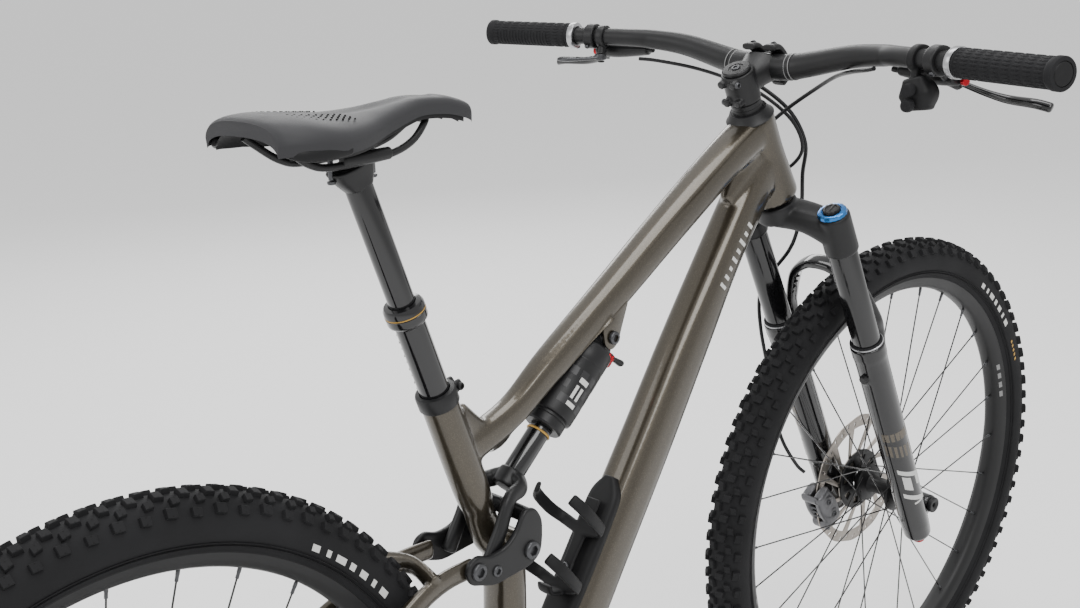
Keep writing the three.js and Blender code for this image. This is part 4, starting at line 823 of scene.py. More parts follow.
def build_wheel_middle(name, body, centre, flanges, ends, rotor_radius, node_hub, node_rotor):
    """Hub, crossed spokes and rotor; flanges and ends are the hub's left and right places."""
    left, right = flanges
    hub = Shape()
    hub.lathe([(8.2, ends[1]), (11, ends[1]), (12.8, ends[1] + 2), (13, right - 7), (27.4, right - 2.2),
               (28.2, right),
               (27.4, right + 2.2), (15, right + 6), (12.4, right + 12), (12.4, left - 12), (15, left - 6),
               (27.4, left - 2.2),
               (28.2, left), (27.4, left + 2.2), (20, left + 5), (19, min(ends[0] - 2, 36)),
               (12.5, ends[0]), (8.2, ends[0])],
              centre, SIDE, 56, closed=True)
    piece(name + "_shell", hub, body, SATIN, (node_hub,))
    spokes, nipples = Shape(), Shape()
    per_side = 14
    for i in range(per_side):
        for side, y, phase in ((1, left, 0.0), (-1, right, 0.5)):
            lean = 1 if i % 2 else -1
            hole = 2 * math.pi * (i + phase) / per_side
            at_rim = hole + lean * 2 * math.pi * 3 / per_side
            inner = centre + vec(24.5 * math.sin(hole), y + lean * 2.6, 24.5 * math.cos(hole))
            outer = centre + vec(RIM_HOLE * math.sin(at_rim), side * 1.4, RIM_HOLE * math.cos(at_rim))
            way = (outer - inner).normalized()
            spokes.hose([inner - SIDE * lean * 3.4, inner - SIDE * lean * 0.6, inner + way * 1.6, outer],
                        1.0, 8)
            nipples.lathe([(1.1, -13), (1.75, -12.4), (1.75, -7), (2.0, -6.6), (2.0, -2), (1.2, 0)], outer,
                          way, 12)
    piece(name + "_spokes", spokes, body, GLOSS)
    piece(name + "_nipples", nipples, body, ALLOY)
    build_rotor(name, body, centre, rotor_radius, node_rotor)


def build_rotor(name, body, centre, radius, node):
    def place(u, v, w):
        return centre + vec(u, ROTOR_Y + w, v)
    outline = []
    for k in range(240):
        angle = 2 * math.pi * k / 240
        edge = radius - 0.8 * (1 - math.cos(12 * angle))
        outline.append((edge * math.sin(angle), edge * math.cos(angle)))
    inner = radius - 15
    holes = windows(12, 0.12, inner - 2, 44, (8, 5), 0.28)
    slots = 36
    half_slot = 2.2 / radius
    slant = 0.035
    for i in range(slots):
        a = 2 * math.pi * i / slots
        low, high = (inner + 2, inner + 8.4) if i % 2 else (inner + 6, inner + 12)
        holes.append(arc(low, a - half_slot, a + half_slot, 3)
                     + arc(high, a + half_slot + slant, a - half_slot + slant, 3))
    holes.append(circle(20.4, 36))
    rotor = Shape().cutout(outline, holes, 0.9, place, 0.15)
    piece(name + "_rotor", rotor, body, STEEL, (node,))
    gaps = [arc(38, a, a + 0.34, 4) + arc(27, a + 0.34, a, 4)
            for a in (2 * math.pi * k / 8 for k in range(8))]
    carrier = Shape().cutout(circle(45, 72), [circle(15, 36)] + gaps, 1.5,
                             lambda u, v, w: centre + vec(u, ROTOR_Y - 2.6 + w, v), 0.4)
    carrier.lathe([(15, -4), (19.5, -4), (20.3, -1), (20.3, 3), (15, 3)], centre + SIDE * ROTOR_Y, SIDE, 48,
                  closed=True, shape=knurled(0.8, 12, 19))
    piece(name + "_carrier", carrier, body, SATIN)


# ---- fork -------------------------------------------------------------------------------
def build_crown():
    crown = Shape()
    crown.bar(along_crown(0), along_crown(24), 26.5, 27, edge=2)
    for side in (-1, 1):
        crown.loft([(along_crown(18, 2), 15, 25), (along_crown(26, 9, side * 36), 16, 22),
                    (on_leg(46, side), 22, 20.5)], across=STEER_DOWN, sides=32, power=0.8, steps=8)
        crown.bar(on_leg(20.3, side), on_leg(76, side), 20.6, 21, 40, edge=1.6)
    piece("crown", crown, "steering", SATIN, fused=1.8, smoothing=8)
    legs = Shape()
    for side in (-1, 1):
        legs.bar(on_leg(60, side), on_leg(392, side), 18, None, 64, edge=0.5)
    legs.bar(along_steer(-63), along_crown(1), 14.3, None, 40)
    piece("stanchions", legs, "steering", GLOSS, ("fork_crown",))


def build_leg_caps():
    cap = Shape()
    cap.lathe([(18.4, 0.4), (18.4, 1.6), (17.6, 4.2), (15.6, 5), (12.4, 5.2), (12.2, 4.0), (0.1, 4.0)],
              on_leg(20, -1), -STEER_DOWN, 64, shape=knurled(0.5, 18, 17))
    piece("damper_cap", cap, "compression_dial_body", BLUE, ("compression_dial",))
    knob_shape = Shape()
    knob_shape.lathe([(10.8, 3.9), (11, 6.5), (10.2, 8.6), (7.4, 9), (6.8, 8.2), (0.1, 8.2)],
                     on_leg(20, -1), -STEER_DOWN, 60, shape=knurled(0.7, 9, 10))
    knob_shape.loft([(on_leg(12.2, -1, -9), 1.6, 1.2), (on_leg(12.2, -1, 9), 1.6, 1.2)], sides=10, edge=0.6,
                    steps=1)
    piece("damper_knob", knob_shape, "compression_dial_body", SATIN)
    air = Shape()
    air.lathe([(17, -0.2), (17, 1.6), (15.6, 3.2), (9, 3.6), (8.6, 2.6), (0.1, 2.6)], on_leg(20, 1),
              -STEER_DOWN, 48)
    piece("air_cap", air, "steering", COARSE)


def build_lowers():
    lowers = Shape()
    for side in (-1, 1):
        lowers.lathe([(18.5, 226), (21.4, 226), (22.4, 227.5), (22.4, 243), (21.6, 250), (21.2, 262),
                      (20.6, 420), (19.6, 560),
                      (18.6, 580), (15.5, 585), (0.1, 585)], on_leg(0, side), STEER_DOWN, 48)
        lowers.loft([(on_leg(508, side), 12, 16), (on_leg(545, side, 7), 14, 18),
                     (on_leg(576, side), 12, 14)], sides=28, steps=8)
        lowers.cross_bar(FRONT_AXLE, side * 56, side * 82, 13, 36, 1.5)
        lowers.loft([(on_leg(256, side, 15), 8, 11), (along_crown(228, LEG_OFFSET + 28, side * 68), 8.5, 6.3),
                     (along_crown(206, LEG_OFFSET + 31, side * 65), 9, 6.3),
                     (along_crown(160, LEG_OFFSET + 33, side * 46), 12, 6.4),
                     (along_crown(138, LEG_OFFSET + 33, side * 20), 12, 6.4),
                     (along_crown(134, LEG_OFFSET + 33, 0), 12, 6.4)],
                    across=STEER_AHEAD, sides=24, power=0.7, steps=8)
    lowers.loft([(along_crown(484, 2, 62), 6, 14), (along_crown(532, -12, 52), 6, 13)], sides=20, power=0.7)
    lowers.bar(along_crown(275, -6, -LEG_SPREAD), along_crown(275, LEG_OFFSET, -LEG_SPREAD), 6)
    piece("lowers", lowers, "fork_slider", GLOSS, ("fork_lowers",), fused=1.8, smoothing=5)
    webs = Shape()
    for side in (-1, 1):
        for t in range(6):
            a = along_crown(150 + t * 10, LEG_OFFSET + 25.5, side * (30 + t * 6))
            b = along_crown(146 + t * 11, LEG_OFFSET + 25.5, side * (38 + t * 5))
            webs.bar(a, b + STEER_DOWN * 6, 1.6, sides=10)
    piece("arch_webs", webs, "fork_slider", SATIN)


def build_seals():
    wipers, rings, dials = Shape(), Shape(), Shape()
    for side in (-1, 1):
        wipers.lathe([(18.1, 220.6), (19.6, 220.6), (20.8, 222.5), (21.2, 226.2), (18.1, 226.2)],
                     on_leg(0, side), STEER_DOWN, 56, closed=True)
        rings.lathe([(20.6, 222.9), (21.5, 223.2), (21.6, 224.6), (20.7, 224.9)], on_leg(0, side),
                    STEER_DOWN, 56, closed=True)
        dials.lathe([(6.4, 0), (6.4, 6.5), (5.4, 8), (0.1, 8)], along_crown(272, -1.5, side * LEG_SPREAD),
                    -STEER_AHEAD, 48, shape=knurled(0.6, 10, 6))
    piece("wiper_seals", wipers, "fork_slider", GRIP)
    piece("wiper_rings", rings, "fork_slider", SILVER)
    piece("bleed_dials", dials, "fork_slider", SATIN)


def build_fork_ends():
    axle = Shape()
    axle.lathe([(7.4, -84), (7.4, 80), (5, 80.5), (0.1, 80.5)], FRONT_AXLE, SIDE, 32)
    axle.lathe([(0.1, 82.8), (3, 82.8), (3.2, 86), (7.8, 88), (10.4, 87.4), (11, 86), (11, 82.6)],
               FRONT_AXLE, -SIDE, 40)
    piece("front_through_axle", axle, "fork_slider", SATIN, ("front_axle",))
    build_caliper("front_brake_caliper", "fork_slider",
                  [along_crown(494, -44, ROTOR_Y), along_crown(550, -36, ROTOR_Y)],
                  FRONT_AXLE, "front_caliper")
    foot = Shape()
    foot.lathe([(8.8, 0.4), (9, 3), (8.6, 9.5), (7, 11.4), (3, 11.8), (0.1, 11.8)], on_leg(585, -1),
               STEER_DOWN, 48, shape=knurled(0.7, 8, 8))
    piece("rebound_dial", foot, "rebound_knob_body", RED, ("rebound_knob",))


LEG_RADIUS = 21.2
LEG_TOP = 262
LEG_TAPER = 0.0052


def leg_patch(shape, side, low, high, start, end, lean=0.0, lift=0.35):
    """A thin mark wrapped on a fork leg between two heights and two angles from its outside."""
    rings = []
    steps = 8
    for k in range(steps + 1):
        angle = start + (end - start) * k / steps
        out = SIDE * side * math.cos(angle) + STEER_AHEAD * math.sin(angle)
        one = []
        for down, extra in ((low, -0.5), (high, -0.5), (high, lift), (low, lift)):
            down += lean * (angle - start)
            radius = LEG_RADIUS - (down - LEG_TOP) * LEG_TAPER
            one.append(on_leg(down, side) + out * (radius + extra))
        rings.append(one)
    shape.skin(rings)


def build_fork_marks():
    taupe, pale = Shape(), Shape()
    for side in (-1, 1):
        leg_patch(taupe, side, 372, 386, -1.5, 1.2)
        leg_patch(taupe, side, 392, 412, -1.5, 1.2, lean=5)
        leg_patch(pale, side, 438, 446, -1.1, 0.7, lean=12)
        leg_patch(pale, side, 452, 476, -0.9, -0.35, lean=12)
        leg_patch(pale, side, 452, 476, 0.05, 0.6, lean=12)
        leg_patch(pale, side, 484, 492, -1.1, 0.7, lean=12)
        leg_patch(pale, side, 506, 509, -0.5, 0.5)
    piece("leg_bands", taupe, "fork_slider", TAUPE)
    piece("leg_marks", pale, "fork_slider", PALE)


def build_caliper(name, body, ends, axle, node):
    """A brake caliper over the rotor's edge, between its two ends."""
    way = (ends[1] - ends[0]).normalized()
    outer = way.cross(SIDE).normalized()
    middle = (ends[0] + ends[1]) / 2
    if (middle - axle).dot(outer) < 0:
        outer = -outer
    shell = Shape()
    for side in (-1, 1):
        at = SIDE * side * 9.5
        shell.loft([(ends[0] + at, 7, 14), (middle + at, 7.4, 18), (ends[1] + at, 7, 15)], sides=28,
                   power=0.7, steps=6, edge=3)
    shell.loft([(ends[0] + outer * 14 - SIDE * 11, 8, 4), (ends[0] + outer * 14 + SIDE * 11, 8, 4)],
               across=way, sides=20, edge=2, steps=1)
    shell.loft([(ends[1] + outer * 16 - SIDE * 11, 8, 4), (ends[1] + outer * 16 + SIDE * 11, 8, 4)],
               across=way, sides=20, edge=2, steps=1)
    detail = Shape()
    for end, k in ((ends[0], 1), (ends[1], -1)):
        for side in (-1, 1):
            centre = end + way * k * 15 + SIDE * side * 16
            shell.bar(centre, centre + SIDE * side * 1.8, 9.4, 8.6, 32)
            detail.bolt(centre + SIDE * side * 1.8, SIDE * side, 4.4, 1.6)
    for t in (-10, 0, 10):
        detail.bar(middle + outer * 15 + way * t - SIDE * 9, middle + outer * 15 + way * t + SIDE * 9, 1.7)
    piece(name, shell, body, PEWTER, (node,), fused=1.0, smoothing=4)
    piece(name + "_fittings", detail, body, ALLOY)


# ---- cockpit ----------------------------------------------------------------------------
def build_cockpit():
    cover = Shape()
    cover.lathe([(15.2, -0.4), (28.8, -0.4), (29, -1.6), (25.6, -5), (22, -12), (18.2, -12.4),
                 (18.2, -17.6), (17.6, -18), (18.2, -18.4),
                 (18.2, -23.8), (15.2, -24)], HEAD_TOP, STEER_DOWN, 64, closed=True)
    piece("headset_top", cover, "steering", SATIN, ("headset_cover",))

    stem = Shape()
    stem.bar(along_steer(-63.8), along_steer(-24.4), 19.6, None, 48, edge=1.5)
    stem.loft([(along_steer(-45, 4), 16, 16), (along_steer(-45, 26), 21, 16.5),
               (along_steer(-45, 43.6), 26, 20)], sides=32, power=0.75)
    for down in (-57, -32):
        stem.loft([(along_steer(down, -16, -8.5), 5.5, 5.5), (along_steer(down, -23, -8.5), 5, 5)],
                  sides=20, edge=1.2, steps=1)
        stem.loft([(along_steer(down, -16, 8.5), 5.5, 5.5), (along_steer(down, -23, 8.5), 5, 5)], sides=20,
                  edge=1.2, steps=1)
    piece("stem_body", stem, "steering", SATIN, ("stem",), fused=1.1, smoothing=5)
    plate_shape = Shape()
    for side in (-1, 1):
        plate_shape.loft([(along_steer(-69, 46, side * 15), 9.5, 4),
                          (along_steer(-64, 56, side * 15), 9.5, 4.4),
                          (along_steer(-45, 62.5, side * 15), 9.5, 4.4),
                          (along_steer(-26, 56, side * 15), 9.5, 4.4),
                          (along_steer(-21, 46, side * 15), 9.5, 4)], sides=20, power=0.6, steps=6, edge=1)
    plate_shape.loft([(along_steer(-45, 62, -12), 9, 3.4), (along_steer(-45, 62, 12), 9, 3.4)],
                     across=STEER_DOWN, sides=16, power=0.6)
    piece("faceplate", plate_shape, "steering", SATIN, ("stem_faceplate",), fused=1.0,
          smoothing=4)
    screws = Shape()
    for side in (-1, 1):
        for down in (-68, -22):
            screws.bolt(along_steer(down, 54, side * 15), STEER_AHEAD, 4.2, 3.4)
    for down, side in ((-57, -1), (-32, 1)):
        screws.bolt(along_steer(down, -19.5, side * 13), SIDE * side, 4, 3)
    screws.bolt(along_steer(-68.4), -STEER_DOWN, 5.2, 1.4)
    piece("stem_screws", screws, "steering", ALLOY)
    cap = Shape().lathe([(16.6, -64.4), (17, -65.4), (17, -67.4), (15.6, -68.8), (9, -69.0), (8.4, -68.2),
                         (0.1, -68.2)], HEAD_TOP,
                        STEER_DOWN, 56)
    piece("stem_cap", cap, "steering", SATIN, ("top_cap",))

    bar = Shape()
    for side in (-1, 1):
        stations = [(BAR_CLAMP, 15.8), (vec(473, side * 32, 1013.4), 15.8), (vec(476, side * 60, 1018), 15),
                    (vec(474, side * 120, 1031), 13.4), (vec(464, side * 168, 1036.5), 12.2),
                    (vec(448, side * 210, 1038.5), 11.1), (on_grip(4, side), 11.1)]
        bar.loft([(at, r, r) for at, r in stations], across=FORWARD, sides=40, steps=10)
    piece("bar", bar, "steering", CARBON, ("handlebar",))
    band = Shape()
    for side in (-1, 1):
        for y in (40, 46):
            at = vec(474, side * y, 1014.2 + (y - 40) * 0.15)
            band.lathe([(15.5, -0.5), (15.95, -0.5), (15.95, 0.5), (15.5, 0.5)], at, vec(0.02, side, 0.12),
                       48, closed=True)
    piece("bar_marks", band, "steering", GREY_MARK)

    for label, side in (("left", 1), ("right", -1)):
        build_grip(label, side)
        build_brake(label, side)
    build_controls()


def build_grip(label, side):
    start = on_grip(134, side)
    way = (on_grip(0, side) - start).normalized()
    length = 136
    rubber = Shape()

    def pattern(angle, radius, height):
        if 14 < height < 126 and radius > 14:
            twist = height * 0.235
            diamond = math.sin(angle * 12 + twist) * math.sin(angle * 12 - twist)
            raised = 0.75 if diamond > 0.12 else 0.0
            ribbed = 40 < height < 118 and math.cos(angle - 2.2) > 0.35
            if ribbed:
                raised = 0.8 if int(height / 2.4) % 2 else 0.0
            return radius + raised
        return radius
    profile = [(12.4, 9), (15.2, 9), (15.4, 12)]
    steps = 224
    profile += [(15.15, 12 + (126 - 12) * k / steps) for k in range(steps + 1)]
    profile += [(16.4, 127.5), (16.9, 129), (16.9, 135), (16.2, length), (12.4, length)]
    rubber.lathe(profile, start, way, 168, closed=True, shape=pattern)
    piece(f"grip_{label}_rubber", rubber, "steering", GRIP, (f"grip_{label}",), angle=55)
    collar = Shape()
    collar.lathe([(12.3, 0.4), (16.2, 0.4), (16.9, 1.2), (16.9, 7.4), (16.2, 8.4), (12.3, 8.4)], start, way,
                 56, closed=True)
    piece(f"grip_{label}_clamp", collar, "steering", SILVER)
    bits = Shape()
    bits.bolt(start + way * 4.4 + vec(6, 0, -15.6), vec(0.3, 0, -1), 3, 1.6)
    bits.lathe([(0.1, length + 0.3), (5, length + 0.5), (11, length + 0.4), (12.4, length - 1),
                (12.4, length - 4), (0.1, length - 4)],
               start, way, 40)
    piece(f"grip_{label}_plug", bits, "steering", COARSE)


def build_brake(label, side):
    pivot = on_brake(150, side, 44, -6)
    body = Shape()
    body.bar(on_grip(164, side), on_grip(150, side), 16.3, None, 48, edge=1.4)
    body.loft([(on_brake(148, side, 30, -5), 9, 10), (on_brake(172, side, 30.5, -6), 9.6, 10.6),
               (on_brake(198, side, 29, -6), 8.2, 9),
               (on_brake(224, side, 24.5, -7), 6, 7)], across=BRAKE_UP, sides=32, edge=2.5, steps=6)
    body.loft([(on_brake(157, side, 10, -2), 7, 8), (on_brake(157, side, 30, -5), 7, 9)], sides=20)
    for low, high in ((4.2, 8), (-8, -4.2)):
        middle = (low + high) / 2
        body.loft([(on_brake(158, side, 30, middle - 6), (high - low) / 2, 7),
                   (pivot + BRAKE_UP * middle, (high - low) / 2, 6.2)],
                  across=BRAKE_UP, sides=20, edge=0.8)
    body.bar(on_brake(222, side, 25, -7), on_brake(236, side, 20, -8), 3.8, 3.2, edge=0.8)
    piece(f"brake_{label}_body", body, "steering", SATIN, (f"brake_body_{label}",),
          fused=0.9, smoothing=4)
    bits = Shape()
    bits.bolt(pivot + BRAKE_UP * 8, BRAKE_UP, 4, 1.8)
    bits.bolt(on_grip(157, side, -10.5, -12.5), vec(-0.6, 0, -0.8), 3.2, 2.4)
    bits.bolt(on_brake(186, side, 30, 4), BRAKE_UP, 3.2, 1.6)
    piece(f"brake_{label}_screws", bits, "steering", ALLOY)
    red = Shape()
    red.lathe([(4.4, -2.4), (5.0, -1.8), (5.0, 1.8), (4.4, 2.4)], on_brake(139, side, 36, -6),
              vec(-0.28, side, 0), 36, shape=knurled(0.4, 9))
    piece(f"brake_{label}_adjuster", red, f"brake_lever_{label}_body", RED)
    blade = Shape()
    blade.bar(pivot - BRAKE_UP * 3.4, pivot + BRAKE_UP * 3.4, 6.4, None, 32)
    blade.loft([(pivot, 3.1, 6), (on_brake(126, side, 62, -7), 3.8, 6),
                (on_brake(100, side, 71, -8), 4.8, 4.8), (on_brake(66, side, 73, -8), 5.4, 4.2),
                (on_brake(50, side, 79, -8), 5.4, 4.2)], across=BRAKE_UP, sides=28, steps=8,
               edge=2.4)
    piece(f"brake_{label}_blade", blade, f"brake_lever_{label}_body", GLOSS,
          (f"brake_lever_{label}",), fused=0.8, smoothing=3)


def build_controls():
    pod = Shape()
    pod.loft([(on_grip(181, -1, -8, -22), 14, 11), (on_grip(177, -1, -6, -36), 20, 16),
              (on_grip(175, -1, -6, -49), 15, 12)],
             sides=36, power=0.72, steps=8, edge=4)
    pod.bar(on_grip(189, -1), on_grip(179, -1), 15.3, None, 44, edge=1)
    pod.loft([(on_grip(184, -1, -4, -8), 5, 6), (on_grip(182, -1, -8, -28), 6, 8)], sides=20)
    piece("pod_shell", pod, "steering", COARSE, ("shifter_pod",), fused=0.9, smoothing=5)
    for name, up in (("shift_button_up", 0), ("shift_button_down", 16)):
        at = on_grip(177, -1, -26, -30 - up)
        button = Shape()
        button.lathe([(6.6, -3), (6.9, -2), (6.9, 1), (6.2, 4.3), (4.6, 5), (2, 4.4), (0.1, 4.2)], at,
                     -FORWARD, 40, shape=lambda a, r, h: r * (1 + 0.04 * math.cos(2 * a)))
        piece(name + "_cap", button, name + "_body", GRIP, (name,))
    pivot = on_grip(172, 1, -4, -26)
    paddle = Shape()
    paddle.bar(pivot - UP * 4, pivot + UP * 4, 7.8, None, 32)
    paddle.loft([(pivot, 3, 7), (pivot + vec(-16, 12, -2), 2.6, 6), (pivot + vec(-26, 34, -3), 3.2, 11),
                 (pivot + vec(-28, 45, -3), 3, 9)],
                across=UP, sides=28, power=0.8, steps=8, edge=1.5)
    piece("dropper_paddle", paddle, "dropper_lever_body", ALLOY, ("dropper_lever",),
          fused=0.8, smoothing=4)
    mount = Shape()
    mount.bar(on_grip(178, 1), on_grip(168, 1), 14.6, None, 40, edge=1)
    mount.loft([(on_grip(173, 1, -2, -10), 5, 6), (on_grip(173, 1, -4, -20.5), 7, 7)], sides=20)
    mount.bolt(on_grip(173, 1, -4, -31.5), -UP, 4.4, 2)
    piece("dropper_mount", mount, "steering", SATIN)


def dense(points, steps=6):
    """A smooth path of vectors through points."""
    return [Vector(row) for row in spline([list(p) for p in points], steps)]


def build_hose(name, points, radius, node, blend):
    path = [HEAD_TOP + TURN @ (p - HEAD_TOP) for p in dense(points)]
    world = [to_world(p) for p in path]
    obj = piece(name, Shape().hose(path, radius, 14), None, HOSE, (node,), blend=blend)


def build_hoses():
    build_hose("hose_rear_brake", [
        vec(429, -180.5, 1026.5), vec(437, -166, 1023), vec(462, -130, 1016), vec(499, -84, 1004),
        vec(524, -40, 984),
        vec(528, 0, 958), vec(517, 24, 934), vec(503, 33, 918), vec(490, 33.5, 905)], 2.6, "rear_brake_hose",
        ("steering", "frame", tuple(front_to_world(vec(528, 0, 958))),
         tuple(front_to_world(vec(492, 33, 907)))))
    build_hose("hose_front_brake", [
        vec(476, 180, 1026), vec(484, 160, 1023), vec(500, 118, 1012), vec(511, 75, 996), vec(522, 36, 978),
        vec(542, 8, 948), vec(560, -2, 908), vec(568, 6, 868), vec(580, 14, 825), vec(592, 28, 785),
        vec(603, 48, 752), vec(612, 80, 715), vec(613, 100, 680), vec(618, 101, 630), vec(638, 100, 560),
        vec(655, 98, 490), vec(663, 88, 448), vec(664, 64, 420), vec(665, 50, 412)], 2.6, "front_brake_hose",
        ("steering", "fork_slider", tuple(front_to_world(vec(560, -2, 908))),
         tuple(front_to_world(vec(612, 80, 715)))))
    build_hose("cable_dropper", [
        vec(452, 182, 1012), vec(463, 160, 1010), vec(484, 118, 1002), vec(500, 76, 990), vec(517, 36, 972),
        vec(538, 4, 940), vec(549, -6, 906), vec(546, 6, 882), vec(532, 26, 869), vec(514, 38, 864),
        vec(503, 39, 862)], 2.3, "dropper_cable",
        ("steering", "frame", tuple(front_to_world(vec(538, 4, 940))),
         tuple(front_to_world(vec(505, 38, 863)))))


# ---- rear end ---------------------------------------------------------------------------
def build_rear():
    stays = Shape()
    for side in (-1, 1):
        stays.loft([(vec(-8, side * 31, 376), 7, 15), (vec(-52, side * 36, 372), 9, 14),
                    (vec(-130, side * 43, 362), 7, 12),
                    (vec(-240, side * 52, 352), 7, 11), (vec(-340, side * 63, 346), 6, 10),
                    (vec(HORST_PIVOT.x + 4, side * 69.5, 346), 5, 11)], sides=32, power=0.8, steps=8)
        stays.cross_bar(MAIN_PIVOT, side * 24, side * 38, 15, 40)
        stays.cross_bar(HORST_PIVOT, side * 65, side * 74, 11, 32)
    stays.loft([(vec(-40, -38, 374), 9, 12), (vec(-41, 0, 375), 9, 12), (vec(-40, 38, 374), 9, 12)],
               across=FORWARD, sides=24)
    piece("lower_stays", stays, "chainstay_body", PAINT, ("chainstay",), fused=1.7, smoothing=6)
    pivots = Shape()
    for side in (-1, 1):
        pivots.bolt(MAIN_PIVOT + SIDE * side * 38, SIDE * side, 8.5, 2.6)
        pivots.bolt(HORST_PIVOT + SIDE * side * 61.6, -SIDE * side, 6.5, 2)
    piece("lower_stay_pivots", pivots, "chainstay_body", ALLOY)
    guard = Shape()
    for i in range(15):
        t = i / 14
        at = vec(-96 - 200 * t, -39.6 - 18 * t, 380 - 15 * t)
        guard.loft([(at - SIDE * 5, 5.6, 2.2), (at + UP * 1.6, 6, 3.2), (at + SIDE * 5, 5.6, 2.2)],
                   across=FORWARD, sides=14, power=0.7)
    piece("chainstay_guard", guard, "chainstay_body", COARSE)

    upper = Shape()
    for side in (-1, 1):
        upper.loft([(vec(HORST_PIVOT.x, side * 80, 346), 5, 12),
                    (vec(REAR_AXLE.x, side * 80, AXLE_HEIGHT), 6, 16)], sides=28, edge=4)
        upper.loft([(vec(REAR_AXLE.x + 6, side * 79, AXLE_HEIGHT + 8), 6, 13),
                    (vec(-350, side * 70, 432), 7, 11),
                    (vec(-240, side * 52, 500), 7, 11), (vec(-150, side * 40, 543), 7, 11),
                    (vec(-100, side * 34, 557), 6, 11), (vec(STAY_PIVOT.x, side * 31.5, STAY_PIVOT.z), 5,
                     11)], sides=32, power=0.8, steps=8, edge=3)
    upper.loft([(vec(-110, -38, 560), 7, 12), (vec(-106, 0, 568), 5, 11), (vec(-110, 38, 560), 7, 12)],
               across=FORWARD, sides=24)
    piece("upper_stays", upper, "seatstay_body", PAINT, ("seatstay",), fused=1.7, smoothing=6)
    axle = Shape()
    axle.lathe([(5.9, -84), (5.9, 87), (0.1, 87)], REAR_AXLE, SIDE, 32)
    axle.lathe([(9.8, 86.6), (10, 88), (9, 90.4), (4.4, 91), (3.4, 88), (0.1, 88)], REAR_AXLE, SIDE, 40)
    piece("rear_through_axle", axle, "seatstay_body", SATIN, ("rear_axle",))
    build_caliper("rear_brake_caliper", "seatstay_body", [vec(-372, ROTOR_Y, 432), vec(-342, ROTOR_Y, 466)],
                  REAR_AXLE, "rear_caliper")


def cog_outline(radius, teeth, tooth=3.6):
    points = []
    for i in range(teeth):
        for part, depth in ((0.0, 1.0), (0.22, 0.9), (0.4, 0.0), (0.6, 0.0), (0.78, 0.9)):
            angle = 2 * math.pi * (i + part) / teeth
            r = radius - tooth * depth
            points.append((r * math.sin(angle), r * math.cos(angle)))
    return points


def build_cassette():
    cogs = Shape()
    radii = [104, 92, 80, 69, 59, 50, 44, 38, 33, 29, 26, 22]
    chain_cog = 5
    pitch = 3.75
    for i, radius in enumerate(radii):
        y = -CHAINLINE + (chain_cog - i) * pitch
        teeth = max(10, round(radius * 2 * math.pi / 12.7))
        holes = [circle(15, 32)]
        if radius > 60:
            holes += windows(8, 0.16, radius - 9, max(radii[i + 2] - 4, 30), (6, 4))
        cogs.cutout(cog_outline(radius, teeth), holes, 0.95,
                    lambda u, v, w, y=y: REAR_AXLE + vec(u, y + w, v), 0.25)
    first = -CHAINLINE + chain_cog * pitch
    last = -CHAINLINE + (chain_cog - len(radii) + 1) * pitch
    cogs.lathe([(15, last), (19, last), (22, first - 6), (26, first), (15, first)], REAR_AXLE, SIDE, 48,
               closed=True)
    piece("cassette_cogs", cogs, "cassette_body", STEEL, ("cassette",), angle=30)


UPPER_PULLEY = (-437, 268, 24)
LOWER_PULLEY = (-398, 190, 24)


def belt(circles, offset):
    """The line of a chain round circles (x, z, radius, sense), sense +1 clockwise."""
    meet, leave = [None] * len(circles), [None] * len(circles)
    for i, (ax, az, ar, sa) in enumerate(circles):
        n = (i + 1) % len(circles)
        bx, bz, br, sb = circles[n]
        ra, rb = sa * (ar + sa * offset), sb * (br + sb * offset)
        heading = math.atan2(bz - az, bx - ax)
        normal = heading + math.pi / 2 + math.asin((rb - ra) / math.hypot(bx - ax, bz - az))
        leave[i] = (ax + ra * math.cos(normal), az + ra * math.sin(normal))
        meet[n] = (bx + rb * math.cos(normal), bz + rb * math.sin(normal))
    line = []
    for (x, z, _, sense), a, b in zip(circles, meet, leave):
        start = math.atan2(a[1] - z, a[0] - x)
        sweep = math.atan2(b[1] - z, b[0] - x) - start
        if sense > 0 and sweep > 0:
            sweep -= 2 * math.pi
        if sense < 0 and sweep < 0:
            sweep += 2 * math.pi
        radius = math.hypot(a[0] - x, a[1] - z)
        for k in range(41):
            line.append((x + radius * math.cos(start + sweep * k / 40),
                         z + radius * math.sin(start + sweep * k / 40)))
    return line


def evenly(line, count):
    """count points the same distance apart round a closed line."""
    loop = line + [line[0]]
    spans = [math.dist(a, b) for a, b in zip(loop, loop[1:])]
    step = sum(spans) / count
    points, i, gone = [], 0, 0.0
    for k in range(count):
        want = k * step
        while gone + spans[i] < want:
            gone += spans[i]
            i += 1
        t = (want - gone) / spans[i]
        points.append((loop[i][0] + (loop[i + 1][0] - loop[i][0]) * t,
                       loop[i][1] + (loop[i + 1][1] - loop[i][1]) * t))
    return points, step


